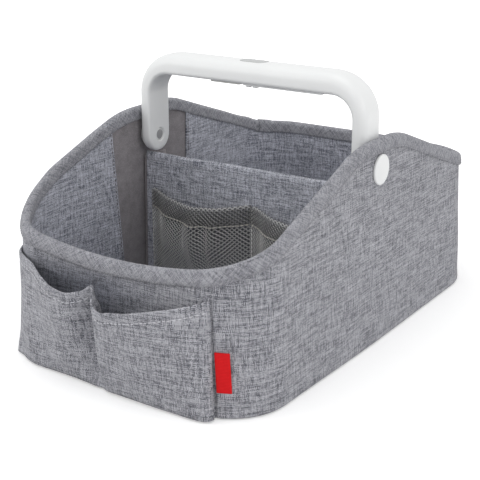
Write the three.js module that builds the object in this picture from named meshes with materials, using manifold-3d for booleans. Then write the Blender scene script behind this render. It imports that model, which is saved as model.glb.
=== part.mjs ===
// Fabric diaper caddy with a folding light-up carry handle.
// Millimetres, +Z up. The origin is the middle of the base, on the surface that the caddy stands on.
// The front with the two pockets faces -Y, and the grip of the handle runs along X.
import * as THREE from "three";
import { mergeVertices } from "three/addons/utils/BufferGeometryUtils.js";
import Module from "manifold-3d";

const wasm = await Module();
wasm.setup();

// Bin: plan outline at the floor, and how far the walls lean in for each millimetre of height.
const binWidth = 210;
const binLength = 340;
const cornerRadius = 42;
const wallLean = 0.017;

// Rim: heights above the floor, the flat top above the handle pivots, and the slope beside it.
const frontHeight = 90;
const peakHeight = 148.5;
const backHeight = 105;
const peakLength = 58;
const rimSlope = 0.365;
const frontEase = 64;
const shoulderEase = 17;
const backEase = 26;

// Layers of a wall, from the outside in, with the clearance between two layers.
const coverThickness = 1.1;
const boardThickness = 1.6;
const liningThickness = 1.0;
const layerGap = 0.3;

// Base: outer fabric, stiff board and floor fabric.
const baseThickness = 1.0;
const baseBoardThickness = 2.5;
const floorThickness = 1.2;

// Seams of the cover, measured along the outline. The front panel is sewn on a little to the left.
const frontPanelWidth = 174;
const frontPanelShift = -9;
const backPanelWidth = 144;
const boardCornerGap = 2;

// Bias tape that folds over the rim.
const tapeThickness = 0.9;
const tapeDrop = 10;

// Loop strips on the side walls, which the divider sticks to.
const stripWidth = 92;
const stripMiddle = 2;

// Pockets on the front, and how the seam at the split draws the cloth back to the panel.
const pocketBelowTape = 3;
const pocketBottom = 1.2;
const pocketThickness = 1.1;
const splitShift = 1.2;
const splitReachRight = 5;
const splitReachLeft = 9;
const splitReachBelow = 13;
const splitFreeShare = 0.8;
const splitFreeStart = 0.72;
const splitFullReach = 16;
const splitFullness = 0.55;
const roundedSwing = 0.4;

// How each half of the pocket cloth hangs: share of its width, stand-off at the bottom and at the hem, drop of the hem.
const leftHang = [
  [0, 3, 0.3, 0],
  [0.07, 1.6, 1.2, 0],
  [0.125, 0.8, 2, 0],
  [0.24, 0.6, 3.6, 0],
  [0.355, 0.6, 6.5, 0.5],
  [0.47, 0.6, 12.5, 1.5],
  [0.585, 0.8, 17.5, 3.5],
  [0.7, 1.2, 20, 7],
  [0.815, 2, 19.5, 9],
  [0.93, 3.2, 14.5, 7.5],
  [1, 4.1, 11, 5],
];
const rightHang = [
  [0, 4.1, 11, 5],
  [0.045, 4.8, 15.5, 13.5],
  [0.125, 5.4, 17.5, 17.2],
  [0.24, 5.7, 20, 14.4],
  [0.355, 6, 20, 13],
  [0.47, 6.3, 19, 10.7],
  [0.585, 6.5, 17, 8.3],
  [0.7, 6.5, 14, 6.2],
  [0.815, 6.5, 9.5, 4],
  [0.91, 6.2, 4.5, 1.8],
  [1, 5.5, 0.3, 0],
];

// Cloth tab in the right seam of the pocket.
const tabWidth = 9;
const tabLength = 26.5;
const tabThickness = 1.2;
const tabBottom = 18.8;

// Handle: a U of two legs and a grip, turning on an axis along X.
const pivotY = -4;
const handleHeight = 191.9;
const handleDepth = 25.5;
const legThickness = 10.6;
const gripThickness = 15.3;
const legPlay = 0.35;
const outerBend = 31;
const innerBend = 16.5;
const legOuterEdge = 5.6;
const legInnerEdge = 2.4;
const gripOuterEdge = 8.5;
const gripInnerEdge = 3;

// Pivots: cap and post outside, screw and plug inside, and a bush between leg and wall.
const capRadius = 10.8;
const capBelowTape = 0.7;
const capThickness = 2.4;
const capRim = 0.9;
const postRadius = 3.6;
const postClearance = 0.4;
const bushRadius = 9;
const screwHeadRadius = 4.5;
const screwHeadThickness = 2.2;
const screwHeadChamfer = 0.9;
const screwRadius = 1.6;
const screwLength = 9;
const counterboreRadius = 5;
const counterboreDepth = 5.2;
const plugThickness = 1.9;
const plugChamfer = 0.4;
const runningGap = 0.25;
const drillReach = 20;

// Grip: walls round the lamp bay, the two windows below and the plates in them.
const topWall = 1.9;
const bottomWall = 2.2;
const bayEdge = 4.5;
const windowWidth = 14.8;
const lensStart = -34;
const lensLength = 26;
const lensProud = 1.8;
const lensThickness = 3.9;
const crossbar = 1.4;
const doorThickness = 2.4;
const doorProud = 1.8;
const plateCorner = 2;
const catchInset = 1.5;
const catchLength = 9;
const catchHalf = 4;
const catchHeight = 1.7;
const prongLength = 3.2;
const overcut = 1;

// Lamp: push button on top, switch and two light sources on a board.
const buttonLength = 21;
const buttonWidth = 11;
const buttonCorner = 4.6;
const buttonProud = 0.2;
const buttonTravel = 1;
const flangeReach = 0.8;
const flangeThickness = 1.2;
const stemRadius = 2;
const stemLength = 1;
const lampMargin = 2;
const lampSideMargin = 1;
const boardLedge = 1.6;
const lampBoardThickness = 1.2;
const lampBoardHeight = 3.1;
const ledSize = 3.5;
const ledCorner = 0.6;
const ledHeight = 1.9;
const ledSpacing = 12;
const switchSize = 6;
const plungerRadius = 1.5;

// Cells of the standard AAA size, with a leaf contact at one end and a bridge at the other.
const cellLength = 44.5;
const cellRadius = 5.25;
const cellChamfer = 0.3;
const cellNubLength = 1;
const cellNubRadius = 1.9;
const partition = 1.2;
const leafRoom = 2.2;
const leafHalf = 3.6;
const bridgeRoom = 1.6;
const bridgeHalf = 3.8;
const contactThickness = 0.4;

// Divider that spans the bin between the loop strips, with a net pocket on its front.
const dividerY = -7;
const dividerBelowHandle = 1.2;
const dividerFabric = 1.0;
const dividerBoard = 2.0;
const dividerBoardMargin = 1;
const floorClearance = 0.5;
const hookThickness = 1.2;
const hookWidth = 26;
const hookMargin = 4;
const meshThickness = 0.9;
const meshDrop = 27;
const meshBand = 15;
const meshBottom = 9;
const meshMargin = 7;
const meshSplit = 2;
const meshBulge = 19;
const meshSag = 5;
const meshStandLow = 0.08;
const meshStandSpan = 0.62;
const meshFold = 1.6;
const meshFolds = 4;
const meshFoldFade = 0.6;

// Facets: lengths along the walls, and counts round curves and across cloth.
const frontFacet = 12;
const sideFacet = 9;
const backFacet = 14;
const cornerFacets = 8;
const closestEdge = 1;
const easeFacets = 16;
const turnFacets = 28;
const cellFacets = 20;
const pinFacets = 16;
const domeFacets = 4;
const edgeFacets = 5;
const bendFacets = 10;
const legFacets = 1;
const gripFacets = 4;
const plateFacets = 3;
const bayFacets = 4;
const leafFacets = 8;
const tabFacets = 3;
const pocketColumns = 18;
const pocketCrowding = 1.6;
const pocketRows = 8;
const meshColumns = 22;
const meshRows = 6;
const bandRows = 2;
const mergeDistance = 1e-4;
const nudge = 1e-3;

const halfWidth = binWidth / 2;
const halfLength = binLength / 2;
const halfTurn = Math.PI;
const quarterTurn = Math.PI / 2;
const wallThickness = coverThickness + boardThickness + liningThickness + 2 * layerGap;
const pocketHeight = frontHeight - tapeDrop - pocketBelowTape;
const pivotHeight = peakHeight - tapeDrop - capBelowTape - capRadius;
const dividerTop = pivotHeight - handleDepth / 2 - dividerBelowHandle;
const meshTop = dividerTop - meshDrop;

// Materials, one for each kind of cloth, plastic or metal.
function finish(color, roughness, metalness = 0) {
  return new THREE.MeshStandardMaterial({ color, roughness, metalness });
}
const cloth = finish(0x8f929a, 0.95);
const tape = finish(0x9b9da3, 0.95);
const boardStock = finish(0xb9ab93, 0.9);
const loopPile = finish(0x5f5c60, 1.0);
const net = finish(0x6d6a63, 0.8);
const redCloth = finish(0xc9202a, 0.8);
const whitePlastic = finish(0xe9ebea, 0.35);
const greyPlastic = finish(0x9c9ea0, 0.5);
const frosted = finish(0xf4f4ee, 0.3);
const circuit = finish(0x2f6b45, 0.6);
const steel = finish(0xb8bbc0, 0.3, 1.0);
const cellWrap = finish(0x4a4d52, 0.4);

const caddy = new THREE.Group();

function addPiece(name, geometry, material) {
  const piece = new THREE.Mesh(geometry, material.clone());
  piece.name = name;
  caddy.add(piece);
}

function addMirroredPair(name, geometry, material) {
  addPiece("right_" + name, geometry, material);
  addPiece("left_" + name, mirrored(geometry), material);
}

// Even steps from one value to another, both included.
function steps(count, from = 0, to = 1) {
  return Array.from({ length: count + 1 }, (_, i) => from + ((to - from) * i) / count);
}

// Positions and triangles alone, with shared corners.
function mergedCorners(geometry) {
  const bare = geometry.clone();
  bare.deleteAttribute("normal");
  bare.deleteAttribute("uv");
  return mergeVertices(bare, mergeDistance);
}

// Solids for joining and cutting.
function solidOf(geometry) {
  const merged = mergedCorners(geometry);
  return new wasm.Manifold(
    new wasm.Mesh({
      numProp: 3,
      vertProperties: new Float32Array(merged.attributes.position.array),
      triVerts: new Uint32Array(merged.index.array),
    }),
  );
}

function geometryOf(solid) {
  const mesh = solid.getMesh();
  const geometry = new THREE.BufferGeometry();
  geometry.setAttribute("position", new THREE.BufferAttribute(mesh.vertProperties, 3));
  geometry.setIndex(new THREE.BufferAttribute(mesh.triVerts, 1));
  return geometry;
}

function cut(body, ...tools) {
  const left = tools.reduce((rest, tool) => rest.subtract(solidOf(tool)), solidOf(body));
  return geometryOf(left);
}

function join(body, ...more) {
  const whole = more.reduce((sum, piece) => sum.add(solidOf(piece)), solidOf(body));
  return geometryOf(whole);
}

function mirrored(geometry) {
  const other = geometry.clone().scale(-1, 1, 1);
  const index = other.index.array.slice();
  for (let i = 0; i < index.length; i += 3) {
    [index[i + 1], index[i + 2]] = [index[i + 2], index[i + 1]];
  }
  return other.setIndex(new THREE.BufferAttribute(index, 1));
}

function blockBetween(low, high) {
  const size = high.map((value, axis) => value - low[axis]);
  const middle = high.map((value, axis) => (value + low[axis]) / 2);
  return new THREE.BoxGeometry(...size).translate(...middle);
}

// A plate with rounded corners, centred on the Z axis, that rises from the XY plane.
function roundedPlate(length, width, radius, thickness) {
  const x = length / 2 - radius;
  const y = width / 2 - radius;
  const plate = new THREE.Shape();
  plate.absarc(x, y, radius, 0, quarterTurn, false);
  plate.absarc(-x, y, radius, quarterTurn, halfTurn, false);
  plate.absarc(-x, -y, radius, halfTurn, 3 * quarterTurn, false);
  plate.absarc(x, -y, radius, 3 * quarterTurn, 2 * halfTurn, false);
  const solid = { depth: thickness, bevelEnabled: false, curveSegments: plateFacets };
  return new THREE.ExtrudeGeometry(plate, solid);
}

// A round pin along Z between two heights.
function pin(radius, bottom, top) {
  const cylinder = new THREE.CylinderGeometry(radius, radius, top - bottom, pinFacets);
  return cylinder.rotateX(quarterTurn).translate(0, 0, (bottom + top) / 2);
}

// A turned piece on an axis along X. The profile is a list of [radius, distance along +X].
function turnedAlongX(profile, facets = turnFacets) {
  const points = profile.map(([radius, along]) => new THREE.Vector2(radius, along));
  const lathed = mergedCorners(new THREE.LatheGeometry(points, facets).rotateZ(-quarterTurn));
  const source = lathed.index.array;
  const index = [];
  for (let i = 0; i < source.length; i += 3) {
    const [a, b, c] = source.slice(i, i + 3);
    if (a !== b && b !== c && c !== a) index.push(a, b, c);
  }
  return facingOut(Array.from(lathed.attributes.position.array), index);
}

// Turns the triangles round where the skin encloses a negative volume.
function facingOut(positions, index) {
  const corner = (i) => new THREE.Vector3().fromArray(positions, 3 * i);
  let volume = 0;
  const turned = [];
  for (let i = 0; i < index.length; i += 3) {
    const [a, b, c] = index.slice(i, i + 3);
    volume += corner(a).dot(corner(b).cross(corner(c)));
    turned.push(a, c, b);
  }
  const geometry = new THREE.BufferGeometry();
  geometry.setAttribute("position", new THREE.Float32BufferAttribute(positions, 3));
  geometry.setIndex(volume < 0 ? turned : index);
  return geometry;
}

// A skin over rings of points, each with the same number of points in the same order.
// A row of rings that isn't a closed loop gets an end at each side, built as a strip between its two faces.
function skinOver(rings, closed = false) {
  const count = rings[0].length;
  const bands = closed ? rings.length : rings.length - 1;
  const index = [];
  for (let i = 0; i < bands; i++) {
    const here = i * count;
    const next = ((i + 1) % rings.length) * count;
    for (let k = 0; k < count; k++) {
      const l = (k + 1) % count;
      index.push(here + k, next + k, next + l);
      index.push(here + k, next + l, here + l);
    }
  }
  const end = bands * count;
  for (let k = 0; !closed && k < count / 2 - 1; k++) {
    const across = count - 1 - k;
    index.push(k, k + 1, across);
    index.push(k + 1, across - 1, across);
    index.push(end + k, end + across, end + k + 1);
    index.push(end + k + 1, end + across, end + across - 1);
  }
  const positions = rings.flat().flatMap((point) => point.toArray());
  return facingOut(positions, index);
}

// A sheet of cloth of even thickness: surface(u, v) is its middle, us and vs the places along each way.
function clothSheet(surface, us, vs, thickness) {
  const offset = (u, v, distance) => {
    const alongU = surface(u + nudge, v).sub(surface(u - nudge, v));
    const alongV = surface(u, v + nudge).sub(surface(u, v - nudge));
    const normal = alongU.cross(alongV).normalize();
    return surface(u, v).addScaledVector(normal, distance);
  };
  const rings = us.map((u) => {
    const front = vs.map((v) => offset(u, v, thickness / 2));
    const back = vs.map((v) => offset(u, v, -thickness / 2));
    return [...front, ...back.reverse()];
  });
  return skinOver(rings);
}

// Plan outline of the bin. Distance runs along it from the middle of the front, positive towards +X.
const frontRun = halfWidth - cornerRadius;
const cornerRun = cornerRadius * quarterTurn;
const sideRun = binLength - 2 * cornerRadius;
const frontCornerEnd = frontRun + cornerRun;
const backCornerStart = frontCornerEnd + sideRun;
const backCornerEnd = backCornerStart + cornerRun;
const halfOutline = backCornerEnd + frontRun;

function outlineAt(distance) {
  const side = Math.sign(distance) || 1;
  const run = Math.abs(distance);
  const place = (x, y, normalX, normalY) => ({ x: side * x, y, normalX: side * normalX, normalY });
  if (run < frontRun) return place(run, -halfLength, 0, -1);
  if (run < frontCornerEnd) {
    const angle = (run - frontRun) / cornerRadius;
    const [sine, cosine] = [Math.sin(angle), Math.cos(angle)];
    return place(frontRun + cornerRadius * sine, -halfLength + cornerRadius * (1 - cosine), sine, -cosine);
  }
  if (run < backCornerStart) {
    return place(halfWidth, -halfLength + cornerRadius + run - frontCornerEnd, 1, 0);
  }
  if (run < backCornerEnd) {
    const angle = (run - backCornerStart) / cornerRadius;
    const [sine, cosine] = [Math.sin(angle), Math.cos(angle)];
    return place(frontRun + cornerRadius * cosine, halfLength - cornerRadius * (1 - sine), cosine, sine);
  }
  return place(halfOutline - run, halfLength, 0, 1);
}

// The distance along the outline of a place on the straight side wall.
function sideAt(y) {
  return frontCornerEnd + y + halfLength - cornerRadius;
}

// A point of the wall: depth is measured inwards from the outer face.
function wallPoint(distance, depth, height) {
  const { x, y, normalX, normalY } = outlineAt(distance);
  const inset = depth + wallLean * height;
  return new THREE.Vector3(x - normalX * inset, y - normalY * inset, height);
}

// The four corners of a layer of the wall, cut across at one place.
function wallSection(place, depth, thickness, bottom, top) {
  return [
    wallPoint(place, depth, bottom),
    wallPoint(place, depth + thickness, bottom),
    wallPoint(place, depth + thickness, top),
    wallPoint(place, depth, top),
  ];
}

// Rim pattern of one half, drawn flat as the cloth is cut: straight runs joined by eased corners.
const peakStart = sideAt(pivotY) - peakLength / 2;
const peakEnd = sideAt(pivotY) + peakLength / 2;
const riseStart = peakStart - (peakHeight - frontHeight) / rimSlope;
const fallEnd = peakEnd + (peakHeight - backHeight) / rimSlope;

function drawRimPattern() {
  const pattern = new THREE.Path();
  const startEase = Math.min(frontEase, riseStart);
  const shoulderFall = shoulderEase * rimSlope;
  pattern.moveTo(0, frontHeight);
  pattern.lineTo(riseStart - startEase, frontHeight);
  pattern.quadraticCurveTo(riseStart, frontHeight, riseStart + startEase, frontHeight + startEase * rimSlope);
  pattern.lineTo(peakStart - shoulderEase, peakHeight - shoulderFall);
  pattern.quadraticCurveTo(peakStart, peakHeight, peakStart + shoulderEase, peakHeight);
  pattern.lineTo(peakEnd - shoulderEase, peakHeight);
  pattern.quadraticCurveTo(peakEnd, peakHeight, peakEnd + shoulderEase, peakHeight - shoulderFall);
  pattern.lineTo(fallEnd - backEase, backHeight + backEase * rimSlope);
  pattern.quadraticCurveTo(fallEnd, backHeight, fallEnd + backEase, backHeight);
  pattern.lineTo(halfOutline, backHeight);
  return pattern.getPoints(easeFacets);
}

const rimPattern = drawRimPattern();

function rimHeight(distance) {
  const run = Math.min(Math.abs(distance), halfOutline);
  const after = Math.max(1, rimPattern.findIndex((point) => point.x >= run));
  const [a, b] = [rimPattern[after - 1], rimPattern[after]];
  const share = b.x > a.x ? (run - a.x) / (b.x - a.x) : 0;
  return a.y + (b.y - a.y) * share;
}

// Places along the outline where every layer has an edge, so that the layers' facets lie parallel.
const runs = [
  [0, frontRun, Math.ceil(frontRun / frontFacet)],
  [frontRun, frontCornerEnd, cornerFacets],
  [frontCornerEnd, backCornerStart, Math.ceil(sideRun / sideFacet)],
  [backCornerStart, backCornerEnd, cornerFacets],
  [backCornerEnd, halfOutline, Math.ceil(frontRun / backFacet)],
];
const halfPlaces = runs.flatMap(([from, to, count]) => steps(count, from, to).slice(0, -1));
const leftPlaces = halfPlaces.slice(1).map((place) => -place).reverse();
const allPlaces = [...leftPlaces, ...halfPlaces, halfOutline];

function placesBetween(from, to) {
  const inside = (place) => place > from + closestEdge && place < to - closestEdge;
  return [from, ...allPlaces.filter(inside), to];
}

// The back runs across the end of both half outlines, so its places go on past it on the other half.
function placesAcrossBack(reach) {
  const right = placesBetween(halfOutline - reach, halfOutline);
  const left = right.slice(0, -1).reverse().map((place) => -place);
  return [...right, ...left];
}

// A panel of one wall layer, which ends under the rim tape.
const innerBottom = baseThickness + layerGap;
const tapeClear = tapeThickness + layerGap;
const boardDepth = coverThickness + layerGap;
const liningDepth = boardDepth + boardThickness + layerGap;
const coverLayer = { depth: 0, thickness: coverThickness, bottom: 0 };
const boardLayer = { depth: boardDepth, thickness: boardThickness, bottom: innerBottom };
const liningLayer = { depth: liningDepth, thickness: liningThickness, bottom: innerBottom };

function wallPanel(places, { depth, thickness, bottom }) {
  return skinOver(
    places.map((place) => wallSection(place, depth, thickness, bottom, rimHeight(place) - tapeClear)),
  );
}

// Holes for the pivot posts go through every layer of the side walls.
const wallHole = turnedAlongX([
  [0, halfWidth - drillReach],
  [postRadius + postClearance, halfWidth - drillReach],
  [postRadius + postClearance, halfWidth + drillReach],
  [0, halfWidth + drillReach],
]).translate(0, pivotY, pivotHeight);

// Cover: front, side and back panels, sewn together at four upright seams.
const seamGap = layerGap / 2;
const leftSeam = frontPanelShift - frontPanelWidth / 2;
const rightSeam = frontPanelShift + frontPanelWidth / 2;
const backSeam = halfOutline - backPanelWidth / 2;

function coverPanel(from, to) {
  return wallPanel(placesBetween(from + seamGap, to - seamGap), coverLayer);
}
addPiece("front_panel", coverPanel(leftSeam, rightSeam), cloth);
addPiece("right_side_panel", cut(coverPanel(rightSeam, backSeam), wallHole), cloth);
addPiece("left_side_panel", cut(coverPanel(-backSeam, leftSeam), mirrored(wallHole)), cloth);
addPiece("back_panel", wallPanel(placesAcrossBack(backPanelWidth / 2 - seamGap), coverLayer), cloth);

// Stiff boards in the flat walls. The corners are cloth alone.
const boardReach = frontRun - boardCornerGap;
const sideBoardPlaces = placesBetween(frontCornerEnd + boardCornerGap, backCornerStart - boardCornerGap);
addPiece("front_board", wallPanel(placesBetween(-boardReach, boardReach), boardLayer), boardStock);
addMirroredPair("side_board", cut(wallPanel(sideBoardPlaces, boardLayer), wallHole), boardStock);
addPiece("back_board", wallPanel(placesAcrossBack(boardReach), boardLayer), boardStock);

// Lining: a front and a back part, with a loop strip between them on each side wall.
const stripFrom = sideAt(stripMiddle - stripWidth / 2);
const stripTo = sideAt(stripMiddle + stripWidth / 2);
const frontLiningPlaces = placesBetween(-stripFrom + seamGap, stripFrom - seamGap);
const backLiningPlaces = placesAcrossBack(halfOutline - stripTo - seamGap);
const stripPlaces = placesBetween(stripFrom + seamGap, stripTo - seamGap);
addPiece("front_lining", wallPanel(frontLiningPlaces, liningLayer), cloth);
addPiece("back_lining", wallPanel(backLiningPlaces, liningLayer), cloth);
addMirroredPair("loop_strip", cut(wallPanel(stripPlaces, liningLayer), wallHole), loopPile);

// Base: outer fabric inside the cover, then board and floor fabric inside the lining.
function basePlate(inset, bottom, thickness) {
  const corners = [...halfPlaces, halfOutline].map((place) => wallPoint(place, inset, bottom));
  const right = corners.map(({ x, y }) => new THREE.Vector2(x, y));
  const left = right.slice(1, -1).map(({ x, y }) => new THREE.Vector2(-x, y));
  const outline = new THREE.Shape([...right, ...left.reverse()]);
  const plate = new THREE.ExtrudeGeometry(outline, { depth: thickness, bevelEnabled: false });
  return plate.translate(0, 0, bottom);
}

const liningInside = wallThickness + layerGap;
const floorBottom = innerBottom + baseBoardThickness + layerGap;
const floorTop = floorBottom + floorThickness;
addPiece("base_panel", basePlate(boardDepth, 0, baseThickness), cloth);
addPiece("base_board", basePlate(liningInside, innerBottom, baseBoardThickness), boardStock);
addPiece("floor_lining", basePlate(liningInside, floorBottom, floorThickness), cloth);

// Rim tape: one closed loop, folded over the edges of cover, boards and lining.
function rimTape() {
  const outside = -tapeClear;
  const inside = wallThickness + tapeClear;
  const rings = allPlaces.map((place) => {
    const top = rimHeight(place);
    const under = top - tapeThickness;
    const hem = top - tapeDrop;
    return [
      wallPoint(place, outside, hem),
      wallPoint(place, outside + tapeThickness, hem),
      wallPoint(place, outside + tapeThickness, under),
      wallPoint(place, inside - tapeThickness, under),
      wallPoint(place, inside - tapeThickness, hem),
      wallPoint(place, inside, hem),
      wallPoint(place, inside, top),
      wallPoint(place, outside, top),
    ];
  });
  return skinOver(rings, true);
}
addPiece("rim_tape", rimTape(), tape);

// Front pockets: one cloth panel, sewn to the front at both seams and at the split between two pockets.
const pocketSplit = frontPanelShift;
const pocketStart = leftSeam + seamGap;
const pocketEnd = rightSeam - seamGap;
const leftHalf = { from: pocketStart, to: pocketSplit, rows: leftHang, curve: hangCurve(leftHang) };
const rightHalf = { from: pocketSplit, to: pocketEnd, rows: rightHang, curve: hangCurve(rightHang) };

// A smooth curve through the rows of one half: stand-off at the bottom, stand-off of the hem, drop of the hem.
function hangCurve(rows) {
  const points = rows.map(([, foot, hem, drop]) => new THREE.Vector3(foot, hem, drop));
  return new THREE.CatmullRomCurve3(points, false, "catmullrom");
}

function hangAt(half, place) {
  const share = THREE.MathUtils.clamp((place - half.from) / (half.to - half.from), 0, 1);
  const next = Math.max(1, half.rows.findIndex(([end]) => end >= share));
  const [before, after] = [half.rows[next - 1][0], half.rows[next][0]];
  const row = next - 1 + (share - before) / (after - before);
  return half.curve.getPoint(row / (half.rows.length - 1)).toArray();
}

function pocketSurface(place, rise) {
  const beside = place - pocketSplit;
  const [foot, hem, drop] = hangAt(beside < 0 ? leftHalf : rightHalf, place);
  const nearSplit = beside < 0 ? 0 : Math.exp(-beside / splitFullReach);
  const fullness = Math.pow(Math.max(rise, 0), 1 - splitFullness * nearSplit);
  const swing = roundedSwing * Math.sin(fullness * quarterTurn) + (1 - roundedSwing) * fullness;
  const reach = beside + splitShift > 0 ? splitReachRight : splitReachLeft + splitReachBelow * (1 - rise);
  const freed = splitFreeShare * THREE.MathUtils.smoothstep(rise, splitFreeStart, 1);
  const held = Math.exp(-(((beside + splitShift) / reach) ** 2)) * (1 - freed);
  const stand = (foot + (hem - foot) * swing) * (1 - held);
  const height = pocketBottom + (pocketHeight - drop - pocketBottom) * rise;
  return wallPoint(place, -(layerGap + pocketThickness / 2 + stand), height);
}

// The columns lie closer together beside the split, where the cloth bends most.
const crowded = steps(pocketColumns).map((share) => Math.pow(share, pocketCrowding));
const leftColumns = crowded.map((share) => leftHalf.to - (leftHalf.to - leftHalf.from) * share);
const rightColumns = crowded.map((share) => rightHalf.from + (rightHalf.to - rightHalf.from) * share);
const pocketPlaces = [...leftColumns.reverse().slice(0, -1), ...rightColumns];
const pocketSheet = clothSheet(pocketSurface, pocketPlaces, steps(pocketRows), pocketThickness);
addPiece("front_pocket", pocketSheet, cloth);

// Folded cloth tab, caught in the right seam and lying flat on the side panel.
const tabFrom = rightSeam + seamGap;
const tabRings = steps(tabFacets, tabFrom, tabFrom + tabWidth).map((place) =>
  wallSection(place, -layerGap, -tabThickness, tabBottom, tabBottom + tabLength),
);
addPiece("seam_tab", skinOver(tabRings), redCloth);

// Pivots. Everything is drawn for the right side and mirrored for the left.
const coverFace = halfWidth - wallLean * pivotHeight;
const liningFace = coverFace - wallThickness;
const legOuter = liningFace - tapeClear - wallLean * (peakHeight - pivotHeight) - legPlay;
const legInner = legOuter - legThickness;
const capSeat = coverFace + layerGap + (wallLean * capRadius) / 2;
const counterboreEnd = legInner + counterboreDepth;
const postEnd = counterboreEnd + layerGap;
const headFace = counterboreEnd - layerGap;
const headEnd = headFace - screwHeadThickness;
const screwHole = screwRadius + runningGap;
const screwTip = headFace + screwLength;
const postBore = postRadius + runningGap;

const capDome = steps(domeFacets, 0, quarterTurn).map((angle) => [
  capRadius * Math.sin(angle),
  capSeat + capRim + (capThickness - capRim) * Math.cos(angle),
]);
const capProfile = [
  ...capDome,
  [capRadius, capSeat],
  [postRadius, capSeat],
  [postRadius, postEnd],
  [screwHole, postEnd],
  [screwHole, screwTip + runningGap],
  [0, screwTip + runningGap],
];
const screwProfile = [
  [0, screwTip],
  [screwRadius, screwTip],
  [screwRadius, headFace],
  [screwHeadRadius, headFace],
  [screwHeadRadius, headEnd + screwHeadChamfer],
  [screwHeadRadius - screwHeadChamfer, headEnd],
  [0, headEnd],
];
const plugFace = headEnd - layerGap;
const plugRadius = counterboreRadius - runningGap;
const plugProfile = [
  [0, plugFace],
  [plugRadius, plugFace],
  [plugRadius, plugFace - plugThickness + plugChamfer],
  [plugRadius - plugChamfer, plugFace - plugThickness],
  [0, plugFace - plugThickness],
];
const bushStart = legOuter + layerGap;
const bushEnd = liningFace - layerGap - wallLean * bushRadius;
const bushProfile = [
  [postBore, bushStart],
  [bushRadius, bushStart],
  [bushRadius, bushEnd],
  [postBore, bushEnd],
  [postBore, bushStart],
];

function addPivotPair(name, profile, material) {
  addMirroredPair(name, turnedAlongX(profile).translate(0, pivotY, pivotHeight), material);
}
addPivotPair("pivot_cap", capProfile, whitePlastic);
addPivotPair("pivot_screw", screwProfile, steel);
addPivotPair("pivot_bush", bushProfile, greyPlastic);
addPivotPair("screw_plug", plugProfile, greyPlastic);

// Handle: a U in the XZ plane with rounded edges, fuller on the grip. Each leg ends in a round boss on the pivot axis.
const gripBottom = handleHeight - gripThickness;

// One section: the outer face from back to front, then the inner face from front to back, each with rounded edges.
function handleSection(outer, inner, outerEdge, innerEdge) {
  const across = outer.clone().sub(inner).normalize();
  const half = handleDepth / 2;
  const face = (point, edge, inward) => {
    const sunk = steps(edgeFacets, 0, quarterTurn).map((angle) => [half - edge * (1 - Math.sin(angle)), edge * (1 - Math.cos(angle))]);
    const place = ([y, drop], side) => point.clone().addScaledVector(across, inward * drop).setY(pivotY + side * y);
    return [...sunk.map((spot) => place(spot, -1)).reverse(), ...sunk.map((spot) => place(spot, 1))];
  };
  return [...face(outer, outerEdge, -1), ...face(inner, innerEdge, 1).reverse()];
}

// Sections of the right half: up the leg, round the bend and along the grip to its middle.
function rightSections() {
  const outerBendAt = new THREE.Vector3(legOuter - outerBend, 0, handleHeight - outerBend);
  const innerBendAt = new THREE.Vector3(legInner - innerBend, 0, gripBottom - innerBend);
  const bend = (share) => {
    const turn = new THREE.Vector3(Math.cos(share * quarterTurn), 0, Math.sin(share * quarterTurn));
    return [outerBendAt.clone().addScaledVector(turn, outerBend), innerBendAt.clone().addScaledVector(turn, innerBend)];
  };
  const section = (outer, inner, share) => {
    const blend = THREE.MathUtils.smoothstep(share, 0, 1);
    const edge = (leg, grip) => leg + (grip - leg) * blend;
    return handleSection(outer, inner, edge(legOuterEdge, gripOuterEdge), edge(legInnerEdge, gripInnerEdge));
  };
  const foot = [new THREE.Vector3(legOuter, 0, pivotHeight), new THREE.Vector3(legInner, 0, pivotHeight)];
  const middle = [new THREE.Vector3(0, 0, handleHeight), new THREE.Vector3(0, 0, gripBottom)];
  const between = (from, to, share) => from.map((point, i) => point.clone().lerp(to[i], share));
  return [
    ...steps(legFacets).slice(0, -1).map((share) => section(...between(foot, bend(0), share), 0)),
    ...steps(bendFacets).map((share) => section(...bend(share), share)),
    ...steps(gripFacets).slice(1).map((share) => section(...between(bend(1), middle, share), 1)),
  ];
}

// One rounded edge of the boss, a quarter turn from the angle given.
function bossEdge(along, edge, angleFrom) {
  return steps(edgeFacets, angleFrom, angleFrom + quarterTurn).map((angle) => [
    handleDepth / 2 - edge + edge * Math.cos(angle),
    along + edge * Math.sin(angle),
  ]);
}

function handleBlank() {
  const right = rightSections();
  const left = right.slice(0, -1).reverse();
  const mirrorX = new THREE.Vector3(-1, 1, 1);
  const bow = skinOver([...right, ...left.map((ring) => ring.map((point) => point.clone().multiply(mirrorX)))]);
  const boss = turnedAlongX([
    [0, legInner],
    ...bossEdge(legInner + legInnerEdge, legInnerEdge, -quarterTurn),
    ...bossEdge(legOuter - legOuterEdge, legOuterEdge, 0),
    [0, legOuter],
  ]).translate(0, pivotY, pivotHeight);
  return join(bow, boss, mirrored(boss));
}

// Room for the lamp and the cells inside the grip, cut from below, and the bores of the legs.
const bayTop = handleHeight - topWall;
const bayBottom = gripBottom + bottomWall;
const windowHalf = windowWidth / 2;
const lensEnd = lensStart + lensLength;
const doorStart = lensEnd + crossbar + 2 * layerGap;
const lampStart = lensStart - lampMargin;
const lampEnd = buttonLength / 2 + flangeReach + layerGap;
const batteryStart = lampEnd + partition;
const cellStart = batteryStart + leafRoom;
const cellEnd = cellStart + cellLength;
const batteryEnd = cellEnd + bridgeRoom;
const cellsHalf = 2 * cellRadius + 1.5 * layerGap;
const lampBoardSeat = bayBottom + lampBoardHeight - layerGap;
const lampHalf = windowHalf + lampSideMargin;
const boardHalf = lampHalf + boardLedge;

function room(fromX, toX, half, bottom, top) {
  return blockBetween([fromX, pivotY - half, bottom], [toX, pivotY + half, top]);
}

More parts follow.
